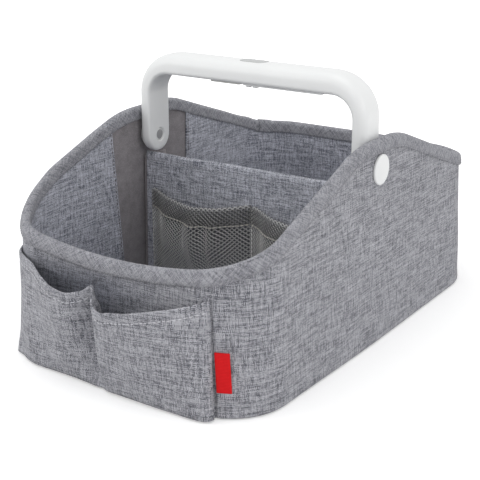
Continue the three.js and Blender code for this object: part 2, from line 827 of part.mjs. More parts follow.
// Room whose two long top edges are rounded as the grip is.
function roundedRoom(fromX, toX, half, bottom, top) {
  const profile = new THREE.Shape();
  profile.absarc(half - bayEdge, top - bayEdge, bayEdge, 0, quarterTurn, false);
  profile.absarc(bayEdge - half, top - bayEdge, bayEdge, quarterTurn, halfTurn, false);
  profile.lineTo(-half, bottom);
  profile.lineTo(half, bottom);
  const solid = { depth: toX - fromX, bevelEnabled: false, curveSegments: bayFacets };
  const alongX = new THREE.Matrix4().makeBasis(
    new THREE.Vector3(0, 1, 0),
    new THREE.Vector3(0, 0, 1),
    new THREE.Vector3(1, 0, 0),
  );
  return new THREE.ExtrudeGeometry(profile, solid).applyMatrix4(alongX).translate(fromX, pivotY, 0);
}

// Window for a plate, cut upwards from below the bends so that no bend stands under the plate.
function windowRoom(from, to) {
  return room(from - layerGap, to + layerGap, windowHalf, gripBottom - innerBend, bayBottom + overcut);
}

const buttonHole = roundedPlate(
  buttonLength + 2 * layerGap,
  buttonWidth + 2 * layerGap,
  buttonCorner + layerGap,
  topWall + 2 * overcut,
).translate(0, pivotY, bayTop - overcut);
const legBore = turnedAlongX([
  [0, legInner - overcut],
  [counterboreRadius, legInner - overcut],
  [counterboreRadius, counterboreEnd],
  [postBore, counterboreEnd],
  [postBore, legOuter + overcut],
  [0, legOuter + overcut],
]).translate(0, pivotY, pivotHeight);

const handleFrame = cut(
  handleBlank(),
  windowRoom(lensStart, lensEnd),
  windowRoom(doorStart, cellEnd),
  room(lampStart, lampEnd, lampHalf, bayBottom, lampBoardSeat + overcut),
  roundedRoom(lampStart, lampEnd, boardHalf, lampBoardSeat, bayTop),
  roundedRoom(batteryStart, batteryEnd, cellsHalf, bayBottom, bayTop),
  buttonHole,
  legBore,
  mirrored(legBore),
);
addPiece("handle_frame", handleFrame, whitePlastic);

// Lamp: a board on two ledges, a switch under the button and two light sources above the lens.
const lampBoardBottom = lampBoardSeat + layerGap;
const lampBoardTop = lampBoardBottom + lampBoardThickness;
const boardFrom = lampStart + layerGap;
const boardTo = lampEnd - layerGap;
const lampBoard = room(boardFrom, boardTo, boardHalf - layerGap, lampBoardBottom, lampBoardTop);
addPiece("lamp_board", lampBoard, circuit);

const lensMiddle = (lensStart + lensEnd) / 2;
const ledBottom = lampBoardBottom - layerGap - ledHeight;
for (const [name, side] of [["left_led", -1], ["right_led", 1]]) {
  const chip = roundedPlate(ledSize, ledSize, ledCorner, ledHeight);
  addPiece(name, chip.translate(lensMiddle + (side * ledSpacing) / 2, pivotY, ledBottom), frosted);
}

const flangeTop = bayTop - layerGap;
const flangeBottom = flangeTop - flangeThickness;
const stemEnd = flangeBottom - stemLength;
const switchBottom = lampBoardTop + layerGap;
const switchTop = stemEnd - buttonTravel - layerGap;
const switchHalf = switchSize / 2;
const switchBody = room(-switchHalf, switchHalf, switchHalf, switchBottom, (switchBottom + switchTop) / 2);
const plunger = pin(plungerRadius, switchBottom, switchTop).translate(0, pivotY, 0);
addPiece("tact_switch", join(switchBody, plunger), steel);

// Push button: a rounded key with a flange that keeps it in, and a stem over the switch.
function pushButton() {
  const keyHeight = handleHeight + buttonProud - flangeBottom;
  const key = roundedPlate(buttonLength, buttonWidth, buttonCorner, keyHeight).translate(0, 0, flangeBottom);
  const flange = roundedPlate(
    buttonLength + 2 * flangeReach,
    buttonWidth + 2 * flangeReach,
    buttonCorner + flangeReach,
    flangeThickness,
  ).translate(0, 0, flangeBottom);
  return join(key, flange, pin(stemRadius, stemEnd, flangeTop)).translate(0, pivotY, 0);
}
addPiece("push_button", pushButton(), greyPlastic);

// Lens: a plate under the light sources.
const plateWidth = windowWidth - 2 * layerGap;
const lensPlate = roundedPlate(lensLength, plateWidth, plateCorner, lensThickness);
addPiece("light_lens", lensPlate.translate(lensMiddle, pivotY, gripBottom - lensProud), frosted);

// Battery door: a plate in its window with a two-pronged finger catch at the free end.
function batteryDoor() {
  const plate = roundedPlate(cellEnd - doorStart, plateWidth, plateCorner, doorThickness);
  plate.translate((doorStart + cellEnd) / 2, pivotY, gripBottom - doorProud);
  const prongBottom = gripBottom - doorProud - catchHeight;
  const prong = (start) => room(start, start + prongLength, catchHalf, prongBottom, gripBottom);
  const catchStart = doorStart + catchInset;
  return join(plate, prong(catchStart), prong(catchStart + catchLength - prongLength));
}
addPiece("battery_door", batteryDoor(), whitePlastic);

// Two cells side by side, laid opposite ways round.
const cellHeight = bayBottom + layerGap + cellRadius;
const cellOffset = cellRadius + layerGap / 2;
const shoulder = cellLength - cellNubLength;
const cellProfile = [
  [0, 0],
  [cellRadius - cellChamfer, 0],
  [cellRadius, cellChamfer],
  [cellRadius, shoulder - cellChamfer],
  [cellRadius - cellChamfer, shoulder],
  [cellNubRadius, shoulder],
  [cellNubRadius, cellLength],
  [0, cellLength],
];
const cell = turnedAlongX(cellProfile, cellFacets);
const frontCell = cell.clone().translate(cellStart, pivotY - cellOffset, cellHeight);
const rearCell = mirrored(cell).translate(cellEnd, pivotY + cellOffset, cellHeight);
addPiece("front_cell", frontCell, cellWrap);
addPiece("rear_cell", rearCell, cellWrap);

// Contacts: a bowed leaf for each cell at the lamp's end and one bridge across both at the other end.
function contactLeaf() {
  const from = batteryStart + layerGap;
  const crest = cellStart - layerGap;
  const inner = leafHalf - 2 * contactThickness;
  const bow = new THREE.Shape();
  bow.moveTo(from, -leafHalf);
  bow.quadraticCurveTo(2 * crest - from, 0, from, leafHalf);
  bow.lineTo(from, inner);
  bow.quadraticCurveTo(2 * (crest - contactThickness) - from, 0, from, -inner);
  const leaf = { depth: cellRadius, bevelEnabled: false, curveSegments: leafFacets };
  return new THREE.ExtrudeGeometry(bow, leaf).translate(0, pivotY, cellHeight - cellRadius / 2);
}
addPiece("front_contact_leaf", contactLeaf().translate(0, -cellOffset, 0), steel);
addPiece("rear_contact_leaf", contactLeaf().translate(0, cellOffset, 0), steel);

const bridge = room(
  cellEnd + layerGap,
  batteryEnd - layerGap,
  cellOffset + cellNubRadius,
  cellHeight - bridgeHalf,
  cellHeight + bridgeHalf,
);
addPiece("contact_bridge", bridge, steel);

// Divider: a board between two cloth faces, cut to the lean of the walls.
const dividerThickness = 2 * dividerFabric + dividerBoard + 2 * layerGap;
const dividerFront = dividerY - dividerThickness / 2;
const dividerBack = dividerY + dividerThickness / 2;
const dividerBottom = floorTop + floorClearance;
const dividerInset = liningInside + hookThickness + layerGap;

function dividerSheet(front, thickness, margin) {
  const half = (height) => halfWidth - dividerInset - margin - wallLean * height;
  const [low, high] = [dividerBottom + margin, dividerTop - margin];
  const shape = new THREE.Shape();
  shape.moveTo(-half(low), low);
  shape.lineTo(half(low), low);
  shape.lineTo(half(high), high);
  shape.lineTo(-half(high), high);
  const sheet = new THREE.ExtrudeGeometry(shape, { depth: thickness, bevelEnabled: false });
  return sheet.rotateX(quarterTurn).translate(0, front + thickness, 0);
}
const dividerCore = dividerSheet(dividerFront + dividerFabric + layerGap, dividerBoard, dividerBoardMargin);
addPiece("divider_front", dividerSheet(dividerFront, dividerFabric, 0), cloth);
addPiece("divider_board", dividerCore, boardStock);
addPiece("divider_back", dividerSheet(dividerBack - dividerFabric, dividerFabric, 0), cloth);

// Hook flaps at both ends of the divider, lying on the loop strips behind it.
const flapLow = dividerBottom + hookMargin;
const flapHigh = dividerTop - hookMargin;
const flapRings = [dividerFront, dividerFront + hookWidth].map((y) =>
  wallSection(sideAt(y), liningInside, hookThickness, flapLow, flapHigh),
);
addMirroredPair("hook_flap", skinOver(flapRings), loopPile);

// Net pocket on the divider: slack net under a doubled band, sewn down at both ends and at the split.
const meshReach = halfWidth - dividerInset - wallLean * meshTop - meshMargin;

function meshSurface(x, rise) {
  const [from, to] = x < meshSplit ? [-meshReach, meshSplit] : [meshSplit, meshReach];
  const share = THREE.MathUtils.clamp((x - from) / (to - from), 0, 1);
  const swell = Math.sin(Math.PI * share);
  const top = meshTop - meshSag * swell;
  const height = meshBottom + (top - meshBottom) * rise;
  const fold = meshFold * Math.cos(2 * Math.PI * meshFolds * share) * (1 - meshFoldFade * rise);
  const stand = meshBulge * Math.sin(Math.PI * (meshStandLow + meshStandSpan * rise)) + fold;
  return new THREE.Vector3(x, dividerFront - layerGap - meshThickness / 2 - stand * swell, height);
}

const leftMeshPlaces = steps(meshColumns, -meshReach, meshSplit).slice(0, -1);
const meshPlaces = [...leftMeshPlaces, ...steps(meshColumns, meshSplit, meshReach)];
const meshHeight = meshTop - meshBottom;
const bandStart = 1 - meshBand / meshHeight;
const netRises = steps(meshRows, 0, bandStart - layerGap / meshHeight);
const bandRises = steps(bandRows, bandStart, 1);
addPiece("mesh_pocket", clothSheet(meshSurface, meshPlaces, netRises, meshThickness), net);
addPiece("mesh_band", clothSheet(meshSurface, meshPlaces, bandRises, meshThickness), net);

export default caddy;
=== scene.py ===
import math

import bmesh
import bpy
from mathutils import Matrix, Vector, noise


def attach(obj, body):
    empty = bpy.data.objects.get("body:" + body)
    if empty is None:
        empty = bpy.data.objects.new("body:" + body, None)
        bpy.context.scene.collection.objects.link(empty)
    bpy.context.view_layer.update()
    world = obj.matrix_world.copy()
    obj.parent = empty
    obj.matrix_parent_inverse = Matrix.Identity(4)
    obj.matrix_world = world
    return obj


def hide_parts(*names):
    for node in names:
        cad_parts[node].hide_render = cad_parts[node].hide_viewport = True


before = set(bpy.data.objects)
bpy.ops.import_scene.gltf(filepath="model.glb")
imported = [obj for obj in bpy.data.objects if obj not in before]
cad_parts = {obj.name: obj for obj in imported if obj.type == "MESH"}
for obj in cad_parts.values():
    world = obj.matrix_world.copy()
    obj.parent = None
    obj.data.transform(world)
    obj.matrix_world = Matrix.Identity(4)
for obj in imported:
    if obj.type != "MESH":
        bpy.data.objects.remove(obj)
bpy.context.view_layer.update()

# Stiff boards in the four walls, the base and the divider.
# Grey chipboard, die cut and dropped between cover and lining before the rim is bound.
# They are flat or simply bent, so the solids stay and only get their finish.
mm = 0.001


def add_node(tree, kind, inputs=None, **options):
    """A shader node. A node given as an input is linked by its first output."""
    node = tree.nodes.new("ShaderNode" + kind)
    for option, value in options.items():
        setattr(node, option, value)
    for name, value in (inputs or {}).items():
        if isinstance(value, bpy.types.Node):
            value = value.outputs[0]
        if isinstance(value, bpy.types.NodeSocket):
            tree.links.new(value, node.inputs[name])
        else:
            node.inputs[name].default_value = value
    return node


def object_place(tree):
    return add_node(tree, "TexCoord").outputs["Object"]


def noise_on(tree, place, scale, detail):
    return add_node(tree, "TexNoise", {"Vector": place, "Scale": scale, "Detail": detail})


def blend_colours(tree, share, first, second, way="MIX"):
    colours = {0: share, 6: first, 7: second}
    return add_node(tree, "Mix", colours, data_type="RGBA", blend_type=way).outputs[2]


def start_finish(name, **values):
    """A new finish with plain values on its shader, and the nodes and the shader to add to."""
    finish = bpy.data.materials.new(name)
    finish.use_nodes = True
    shader = finish.node_tree.nodes["Principled BSDF"]
    for socket, value in values.items():
        shader.inputs[socket.replace("_", " ")].default_value = value
    return finish, finish.node_tree, shader


def colour_by(shader, share, first, second, way="MIX"):
    """Colours a finish from the first colour to the second by a share that changes over the surface."""
    tree = shader.id_data
    tree.links.new(blend_colours(tree, share, first, second, way), shader.inputs["Base Color"])


def roughen(shader, height, strength, distance):
    tree = shader.id_data
    bump = add_node(tree, "Bump", {"Height": height, "Strength": strength, "Distance": distance})
    tree.links.new(bump.outputs["Normal"], shader.inputs["Normal"])


def finish_nodes(finish, *names):
    for name in names:
        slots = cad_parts[name].data.materials
        slots.clear()
        slots.append(finish)


chipboard, tree, shader = start_finish("chipboard", Roughness=0.9)
fibres = noise_on(tree, object_place(tree), scale=700.0, detail=4.0)
colour_by(shader, fibres, (0.26, 0.22, 0.17, 1), (0.46, 0.41, 0.33, 1))
roughen(shader, fibres, strength=0.3, distance=0.2 * mm)
finish_nodes(chipboard, "front_board", "right_side_board", "left_side_board", "back_board")
finish_nodes(chipboard, "base_board", "divider_board")

# Outer cover: a front, two side and a back panel of heather cloth.
# Two-tone woven polyester, cut flat, sewn edge to edge and pulled over the boards.
# The lower edge turns under the base, each seam pulls in a groove, and the front panel's cloth in the pocket
# mouths is darkened as painted shade.
front_straight, corner_bend, side_straight = 63 * mm, 65.97 * mm, 256 * mm
corner_radius, half_width, half_length = 42 * mm, 105 * mm, 170 * mm
side_start = front_straight + corner_bend
back_start = side_start + side_straight
half_outline = back_start + corner_bend + front_straight
wall_lean = 0.017
front_height, peak_height, back_height, rim_slope = 90 * mm, 148.5 * mm, 105 * mm, 0.365
# Each bend of the rim line: its place from the front middle, and how far it is eased to both sides.
rim_bends = (
    (63.7 * mm, 63.7 * mm), (223.97 * mm, 17 * mm), (281.97 * mm, 17 * mm), (401.15 * mm, 26 * mm),
)
# Millimetres: place along the rim from the front middle, and how far the cloth has been pulled up there.
rim_lift = (
    (-513.94, 1.9), (-430, 1.9), (-410, 2.3), (-396, 4.5), (-375, 4.6), (-330, 3.5), (-292, 2.6), (-262, 1),
    (-240, 0.6), (-215, 1.2), (-185, 2), (-150, 2), (-125, 0), (0, 0), (440, 0), (513.94, 1.9),
)
left_seam, right_seam, back_seam = -96 * mm, 78 * mm, 441.94 * mm
seam_slant, slant_reach = 0.043, 35 * mm
sunk_start, sunk_length = -150 * mm, 81 * mm
sunk_foot, sunk_wall, sunk_rim = 1.2 * mm, 2 * mm, 1.2 * mm
pivot_y, pivot_z = -4 * mm, 127 * mm


def along_table(table, place):
    """Smooth row of values at a place between the table's places, whose slopes never overshoot."""
    place = min(max(place, table[0][0]), table[-1][0])
    index = max(i for i, row in enumerate(table[:-1]) if row[0] <= place)
    here, there = table[index], table[index + 1]
    span = there[0] - here[0]
    share = (place - here[0]) / span
    values = []
    for column in range(1, len(here)):
        slopes = []
        for i in (index, index + 1):
            before, middle, after = table[max(0, i - 1)], table[i], table[min(len(table) - 1, i + 1)]
            rise_before = (middle[column] - before[column]) / ((middle[0] - before[0]) or 1)
            rise_after = (after[column] - middle[column]) / ((after[0] - middle[0]) or 1)
            product = rise_before * rise_after
            slopes.append(2 * product / (rise_before + rise_after) if product > 0 else 0)
        level = here[column] + (there[column] - here[column]) * share * share * (3 - 2 * share)
        values.append(level + share * (1 - share) * span * ((1 - share) * slopes[0] - share * slopes[1]))
    return values


def smooth_step(value, low, high):
    share = min(1, max(0, (value - low) / (high - low)))
    return share * share * (3 - 2 * share)


def wrapped(run):
    return (run + half_outline) % (2 * half_outline) - half_outline


def plan_point(run):
    """Point and outward direction on the bin's plan outline, run metres from the front middle."""
    run = wrapped(run)
    side, far = (1 if run >= 0 else -1), abs(run)
    if far < front_straight:
        x, y, nx, ny = far, -half_length, 0, -1
    elif far < side_start:
        turn = (far - front_straight) / corner_radius
        nx, ny = math.sin(turn), -math.cos(turn)
        x, y = front_straight + corner_radius * nx, corner_radius - half_length + corner_radius * ny
    elif far < back_start:
        x, y, nx, ny = half_width, corner_radius - half_length + far - side_start, 1, 0
    elif far < back_start + corner_bend:
        turn = (far - back_start) / corner_radius
        nx, ny = math.cos(turn), math.sin(turn)
        x, y = front_straight + corner_radius * nx, half_length - corner_radius + corner_radius * ny
    else:
        x, y, nx, ny = half_outline - far, half_length, 0, 1
    return Vector((side * x, y, 0)), Vector((side * nx, ny, 0))


def wall_point(run, depth, height):
    """Point in a wall, depth metres in from its outer face, which leans in as it rises.
    The left front corner, which no board holds out, has sunk in a little."""
    point, out = plan_point(run)
    corner = min(1, max(0, (wrapped(run) - sunk_start) / sunk_length))
    sunk = sunk_foot + sunk_wall * smooth_step(height, 0, 20 * mm)
    sunk += sunk_rim * smooth_step(height, 60 * mm, 100 * mm)
    depth = depth + wall_lean * height + sunk * math.sin(math.pi * corner) ** 2
    return point - out * depth + Vector((0, 0, height))


def seam_lean(run, height):
    """Places beside the right front seam shift towards the front as they rise, because that seam slants."""
    return run - seam_slant * height * math.exp(-((run - right_seam) / slant_reach) ** 2)


def rim_line(run):
    peak_from, peak_to = rim_bends[1][0], rim_bends[2][0]
    if run < peak_to:
        return max(front_height, min(peak_height, peak_height - (peak_from - run) * rim_slope))
    return max(back_height, min(peak_height, peak_height - (run - peak_to) * rim_slope))


def rim_height(run):
    place = wrapped(run)
    lift, far = along_table(rim_lift, place / mm)[0] * mm, abs(place)
    for bend, ease in rim_bends:
        if abs(far - bend) < ease:
            share = (far - bend + ease) / (2 * ease)
            low, mid, high = (rim_line(bend + step * ease) for step in (-1, 0, 1))
            return lift + (1 - share) ** 2 * low + 2 * share * (1 - share) * mid + share ** 2 * high
    return lift + rim_line(far)


def slack(run, height, seed, size, wave=42 * mm):
    """Gentle unevenness of cloth lying on a board."""
    return size * noise.noise(Vector((run / wave, height / wave, seed)))


def spread(start, end, pitch, closer=()):
    """Places from start to end about pitch apart, with closer ones at both ends."""
    count = max(2, round((end - start) / pitch))
    even = [start + (end - start) * i / count for i in range(count + 1)]
    return sorted(set(even + [start + c for c in closer] + [end - c for c in closer]))


def add_piece(name, bm, finish):
    mesh = bpy.data.meshes.new(name)
    bm.to_mesh(mesh)
    bm.free()
    mesh.materials.append(finish)
    piece = bpy.data.objects.new(name, mesh)
    bpy.context.scene.collection.objects.link(piece)
    return piece


def bent_grid(columns, rows, place):
    """A flat grid bent into shape: place(column, row) gives the point and its place on the flat cut."""
    bm = bmesh.new()
    bmesh.ops.create_grid(bm, x_segments=len(columns) - 1, y_segments=len(rows) - 1, size=0.5)
    cut = bm.loops.layers.uv.new("cut")
    flat = {}
    for vert in bm.verts:
        column = columns[round((vert.co.x + 0.5) * (len(columns) - 1))]
        row = rows[round((vert.co.y + 0.5) * (len(rows) - 1))]
        vert.co, flat[vert] = place(column, row)
    for face in bm.faces:
        face.smooth = True
        for loop in face.loops:
            loop[cut].uv = flat[loop.vert]
    return bm


def give_thickness(piece, thickness):
    solid = piece.modifiers.new("thickness", "SOLIDIFY")
    solid.thickness, solid.offset = thickness, -1


def fit(piece, body, slot, *nodes):
    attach(piece, body)
    if nodes:
        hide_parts(*nodes)


def reckon(tree, operation, *values, clamp=False):
    return add_node(tree, "Math", dict(enumerate(values)), operation=operation, use_clamp=clamp)


def ramp(tree, value, start, end):
    """0 at start and before it, 1 at end and past it."""
    return add_node(tree, "MapRange", {"Value": value, "From Min": start, "From Max": end})


def mix_values(tree, share, first, second):
    return add_node(tree, "Mix", {0: share, 2: first, 3: second}, data_type="FLOAT")


def cut_place(tree):
    return add_node(tree, "UVMap", uv_map="cut").outputs["UV"]


def axes_of(tree, place):
    return add_node(tree, "SeparateXYZ", {0: place}).outputs


def painted(finish):
    """A finish's nodes, its shader and the colour that reaches the shader so far."""
    shader = finish.node_tree.nodes["Principled BSDF"]
    return finish.node_tree, shader, shader.inputs["Base Color"].links[0].from_socket


# Plain weave: warp and weft pass over each other in turn, and every thread has slubs drawn out along it.
weave = bpy.data.node_groups.new("plain_weave", "ShaderNodeTree")
weave.interface.new_socket("Cut", in_out="INPUT", socket_type="NodeSocketVector")
weave.interface.new_socket("Thread", in_out="INPUT", socket_type="NodeSocketFloat")
weave.interface.new_socket("Tone", in_out="OUTPUT", socket_type="NodeSocketFloat")
weave.interface.new_socket("Height", in_out="OUTPUT", socket_type="NodeSocketFloat")
warp_slub, weft_slub, fleck_share = 16.0, 30.0, 0.15
darkest_tone, lightest_tone = 0.445, 0.695
given = weave.nodes.new("NodeGroupInput").outputs
threads_per_metre = reckon(weave, "DIVIDE", 1.0, given["Thread"])
threads = add_node(weave, "VectorMath", {0: given["Cut"], "Scale": threads_per_metre}, operation="SCALE")
thread_axes = axes_of(weave, threads)
ridges = [reckon(weave, "SINE", reckon(weave, "MULTIPLY", thread_axes[axis], math.pi)) for axis in "XY"]
over = reckon(weave, "MULTIPLY_ADD", reckon(weave, "MULTIPLY", *ridges), 3.0, 0.5, clamp=True)
crossings = add_node(weave, "VectorMath", {0: threads}, operation="FLOOR")
counts = axes_of(weave, crossings)
slubs = []
for across, along, length in (("X", "Y", warp_slub), ("Y", "X", weft_slub)):
    apart = reckon(weave, "MULTIPLY", counts[across], 3.7)
    drawn = reckon(weave, "DIVIDE", thread_axes[along], length)
    thread = add_node(weave, "CombineXYZ", {0: apart, 1: drawn, 2: length})
    slub = noise_on(weave, thread, scale=1.0, detail=2.0)
    slub.inputs["Roughness"].default_value = 0.55
    slubs.append(slub)
flecks = add_node(weave, "TexWhiteNoise", {"Vector": crossings}, noise_dimensions="3D").outputs["Value"]
melange = reckon(weave, "MULTIPLY_ADD", flecks, fleck_share, mix_values(weave, over, *slubs))
rounds = [reckon(weave, "ABSOLUTE", ridge) for ridge in ridges]
result = weave.nodes.new("NodeGroupOutput").inputs
weave.links.new(ramp(weave, melange, darkest_tone, lightest_tone).outputs[0], result["Tone"])
weave.links.new(mix_values(weave, over, *rounds).outputs[0], result["Height"])


def heather_finish(name, dark, light, thread, turn=0.0):
    finish, tree, shader = start_finish(name, Roughness=0.93, Sheen_Weight=0.15, Sheen_Roughness=0.6)
    laid = add_node(tree, "Mapping", {"Vector": cut_place(tree), "Rotation": (0, 0, turn)})
    cloth = add_node(tree, "Group", {"Cut": laid, "Thread": thread}, node_tree=weave).outputs
    cloudy = 0.14
    patchy = reckon(tree, "MULTIPLY_ADD", noise_on(tree, laid, scale=90.0, detail=3.0), cloudy, cloth["Tone"])
    colour_by(shader, reckon(tree, "SUBTRACT", patchy, cloudy / 2, clamp=True), dark, light)
    roughen(shader, cloth["Height"], strength=0.6, distance=0.25 * mm)
    return finish


cloth_thread = 0.62 * mm
heather_dark, heather_light = (0.085, 0.088, 0.108, 1), (0.515, 0.515, 0.556, 1)
heather = heather_finish("heather_cloth", heather_dark, heather_light, cloth_thread)
front_heather = heather_finish("front_heather", heather_dark, heather_light, cloth_thread)
# Painted shade: below the tape and left of the middle, the front panel's cloth is darkened, standing in for the
# shade in the pocket mouths.
tree, shader, front_plain_cloth = painted(front_heather)
cut = axes_of(tree, cut_place(tree))
in_pocket = ramp(tree, cut["Y"], 87 * mm, 70 * mm)
left_of_middle = ramp(tree, cut["X"], 50 * mm, -10 * mm)
pocket_painted_shade = reckon(tree, "MULTIPLY", in_pocket, left_of_middle)
colour_by(shader, pocket_painted_shade, front_plain_cloth, (0.52, 0.54, 0.59, 1), "MULTIPLY")
cover_thickness, cover_slack, under_tape = 1.1 * mm, 0.9 * mm, 1.2 * mm
bottom_turn, seam_pull, seam_groove = 2.6 * mm, 0.6 * mm, 1.1 * mm
seam_steps = [0.4 * mm, 0.9 * mm, 1.6 * mm, 2.6 * mm]
low_rows = [0, 0.003, 0.008, 0.016, 0.028]
rear_bulge, bulge_height = 3 * mm, 100 * mm
bulge_grows, bulge_fades = (110 * mm, 260 * mm), (425 * mm, 470 * mm)
# The cloth lies still under the caps, near the bottom and beside the seams, and freely past these distances.
cap_calm, low_calm, seam_calm = (12 * mm, 30 * mm), (2 * mm, 15 * mm), (0, 8 * mm)


def cover_panel(name, node, start, end, finish, seed):
    def place(run, rise):
        height = (rim_height(run) - under_tape) * rise
        under = max(0, bottom_turn - height)
        depth = bottom_turn - math.sqrt(bottom_turn ** 2 - under ** 2)
        edge = min(run - start, end - run)
        depth += seam_pull * math.exp(-(edge / seam_groove) ** 2)
        point, _ = plan_point(run)
        on_side = abs(point.x) > 100 * mm
        from_pivot = math.hypot(point.y - pivot_y, height - pivot_z) if on_side else 1
        calm = smooth_step(from_pivot, *cap_calm) * smooth_step(height, *low_calm)
        calm *= smooth_step(edge, *seam_calm)
        depth -= calm * (slack(run, height, seed, cover_slack) - 0.1 * mm)
        bulge = smooth_step(run, *bulge_grows) * (1 - smooth_step(run, *bulge_fades))
        depth -= rear_bulge * bulge * max(0, 1 - height / bulge_height)
        return wall_point(seam_lean(run, height), depth, height), (run, height)

    columns = spread(start, end, 4 * mm, seam_steps)
    rows = low_rows + spread(0.045, 1, 0.03)
    piece = add_piece(name, bent_grid(columns, rows, place), finish)
    give_thickness(piece, cover_thickness)
    fit(piece, "bin", "heather_cloth", node)


left_back_seam = 2 * half_outline - back_seam
cover_panel("front_cover", "front_panel", left_seam, right_seam, front_heather, seed=1.3)
cover_panel("right_cover", "right_side_panel", right_seam, back_seam, heather, seed=5.7)
cover_panel("back_cover", "back_panel", back_seam, left_back_seam, heather, seed=9.1)
cover_panel("left_cover", "left_side_panel", -back_seam, left_seam, heather, seed=13.4)

# Base panel under the bin and floor lining inside it.
# The base is cut from the same heather cloth and sewn round its edge to the walls.
# The floor lining lies on the base board with its edge turned up into the wall seam.
nearly = 0.01 * mm


def rise_of(edge):
    return abs(edge.verts[0].co.z - edge.verts[1].co.z)


def round_edges(bm, edges, radius, segments):
    bmesh.ops.bevel(bm, geom=edges, offset=radius, segments=segments, profile=0.5, affect="EDGES", material=-1)


def plan_plate(name, finish, inset, bottom, thickness, edge):
    """A sheet filling the plan outline, inset from the walls, with its upper and lower edges rounded."""
    bm = bmesh.new()
    bmesh.ops.create_circle(bm, cap_ends=True, radius=1, segments=160)
    for vert in bm.verts:
        share = (math.atan2(vert.co.y, vert.co.x) + math.pi / 2) / (2 * math.pi)
        vert.co = wall_point(share * 2 * half_outline, inset, bottom)
    raised = bmesh.ops.extrude_face_region(bm, geom=bm.faces[:])["geom"]
    raised = [part for part in raised if isinstance(part, bmesh.types.BMVert)]
    bmesh.ops.translate(bm, verts=raised, vec=(0, 0, thickness))
    bmesh.ops.recalc_face_normals(bm, faces=bm.faces[:])
    round_edges(bm, [e for e in bm.edges if rise_of(e) < nearly], edge, 3)
    cut = bm.loops.layers.uv.new("cut")
    for face in bm.faces:
        for loop in face.loops:
            loop[cut].uv = loop.vert.co.xy
    return add_piece(name, bm, finish)


# Painted light: the lining's tones are lighter than the outer cloth's, standing in for the light that reaches
# inside the bin.
lining_dark, lining_light = (0.102, 0.110, 0.142, 1), (0.645, 0.657, 0.732, 1)
lining_cloth = heather_finish("lining_cloth", lining_dark, lining_light, cloth_thread)
base_cover = plan_plate("base_cover", heather, inset=2.8 * mm, bottom=0, thickness=1 * mm, edge=0.3 * mm)
fit(base_cover, "bin", "heather_cloth", "base_panel")
floor_cover = plan_plate(
    "floor_cover", lining_cloth, inset=4.6 * mm, bottom=4.1 * mm, thickness=1.2 * mm, edge=0.4 * mm,
)
fit(floor_cover, "bin", "lining_cloth", "floor_lining")

# Loop strips down the middle of both side walls, which the divider's hook tabs grip.
# Brushed loop pile, a warm darker grey, sewn flat on the board side of the lining.
# The lining's folded edges cover the strip's long edges; the left strip was sewn on a little askew.
strip_front, strip_back, strip_under = -44 * mm, 48 * mm, 3 * mm
strip_depth, strip_thickness, strip_below_rim, inside_low = 3.7 * mm, 0.7 * mm, 1.3 * mm, 1.3 * mm
askew_below, askew_slope, askew_reach = 10 * mm, 0.108, 40 * mm


def side_run(y):
    return side_start + y + half_length - corner_radius


def strip_slant(run, height):
    """Places beside the left strip's front edge, which slants: further back below and forward at the top."""
    askew = askew_below - askew_slope * height
    return run - askew * math.exp(-((run + side_run(strip_front)) / askew_reach) ** 2)


loop_pile, tree, shader = start_finish("loop_pile", Roughness=1.0, Sheen_Weight=0.35, Sheen_Roughness=0.5)
cut = cut_place(tree)
tufts = add_node(tree, "TexVoronoi", {"Vector": cut, "Scale": 1500.0, "Randomness": 1.0}).outputs["Distance"]
nap = reckon(tree, "MULTIPLY_ADD", tufts, 0.6, noise_on(tree, cut, scale=120.0, detail=4.0))
colour_by(shader, ramp(tree, nap, 0.45, 1.15), (0.168, 0.155, 0.163, 1), (0.31, 0.288, 0.30, 1))
roughen(shader, nap, strength=0.5, distance=0.4 * mm)


def loop_strip(name, node, side):
    def place(run, rise):
        there = strip_slant(side * run, rim_height(side * run) * rise)
        height = inside_low + (rim_height(there) - strip_below_rim - inside_low) * rise
        depth = strip_depth + slack(run, height, seed=21.5, size=0.15 * mm)
        return wall_point(there, depth, height), (-side * run, height)

    columns = spread(side_run(strip_front) - strip_under, side_run(strip_back) + strip_under, 6 * mm)
    piece = add_piece(name, bent_grid(columns[::-side], spread(0, 1, 0.06), place), loop_pile)
    give_thickness(piece, strip_thickness)
    fit(piece, "bin", "loop_pile", node)


loop_strip("right_pile_strip", "right_loop_strip", 1)
loop_strip("left_pile_strip", "left_loop_strip", -1)

# Front and back linings, one sheet round each end of the bin.
# The same heather cloth, coloured lighter as painted light for the light inside the bin; the edges beside the
# strips are folded under and sewn.
# In the rounded corners, where no board backs it, the lining falls into one or two soft folds.
lining_face, lining_thickness, lining_slack, lining_below_rim = 4.3 * mm, 1 * mm, 1.0 * mm, 1.2 * mm
fold_width, fold_ease, fold_lap, fold_rise, fold_stitch = 7 * mm, 0.8 * mm, 1.2 * mm, 0.55 * mm, 1.9 * mm
fold_steps = [0.5 * mm, 1.2 * mm, 6 * mm, 7 * mm, 8 * mm]
soft_corners, soft_fold, soft_hollow = (96 * mm, 418 * mm), 1.6 * mm, -0.6 * mm
soft_reach, soft_wave, soft_twist = 14 * mm, 7.5 * mm, 14
lining_calm, rim_calm = (4 * mm, 20 * mm), (8 * mm, 22 * mm)


def thread_finish(name, dark, light):
    finish, tree, shader = start_finish(name, Roughness=0.75)
    plies = noise_on(tree, object_place(tree), scale=2500.0, detail=2.0)
    colour_by(shader, plies, dark, light)
    return finish


sewing_thread = thread_finish("sewing_thread", (0.16, 0.16, 0.18, 1), (0.42, 0.42, 0.45, 1))
dark_thread = thread_finish("dark_thread", (0.035, 0.020, 0.018, 1), (0.11, 0.072, 0.065, 1))


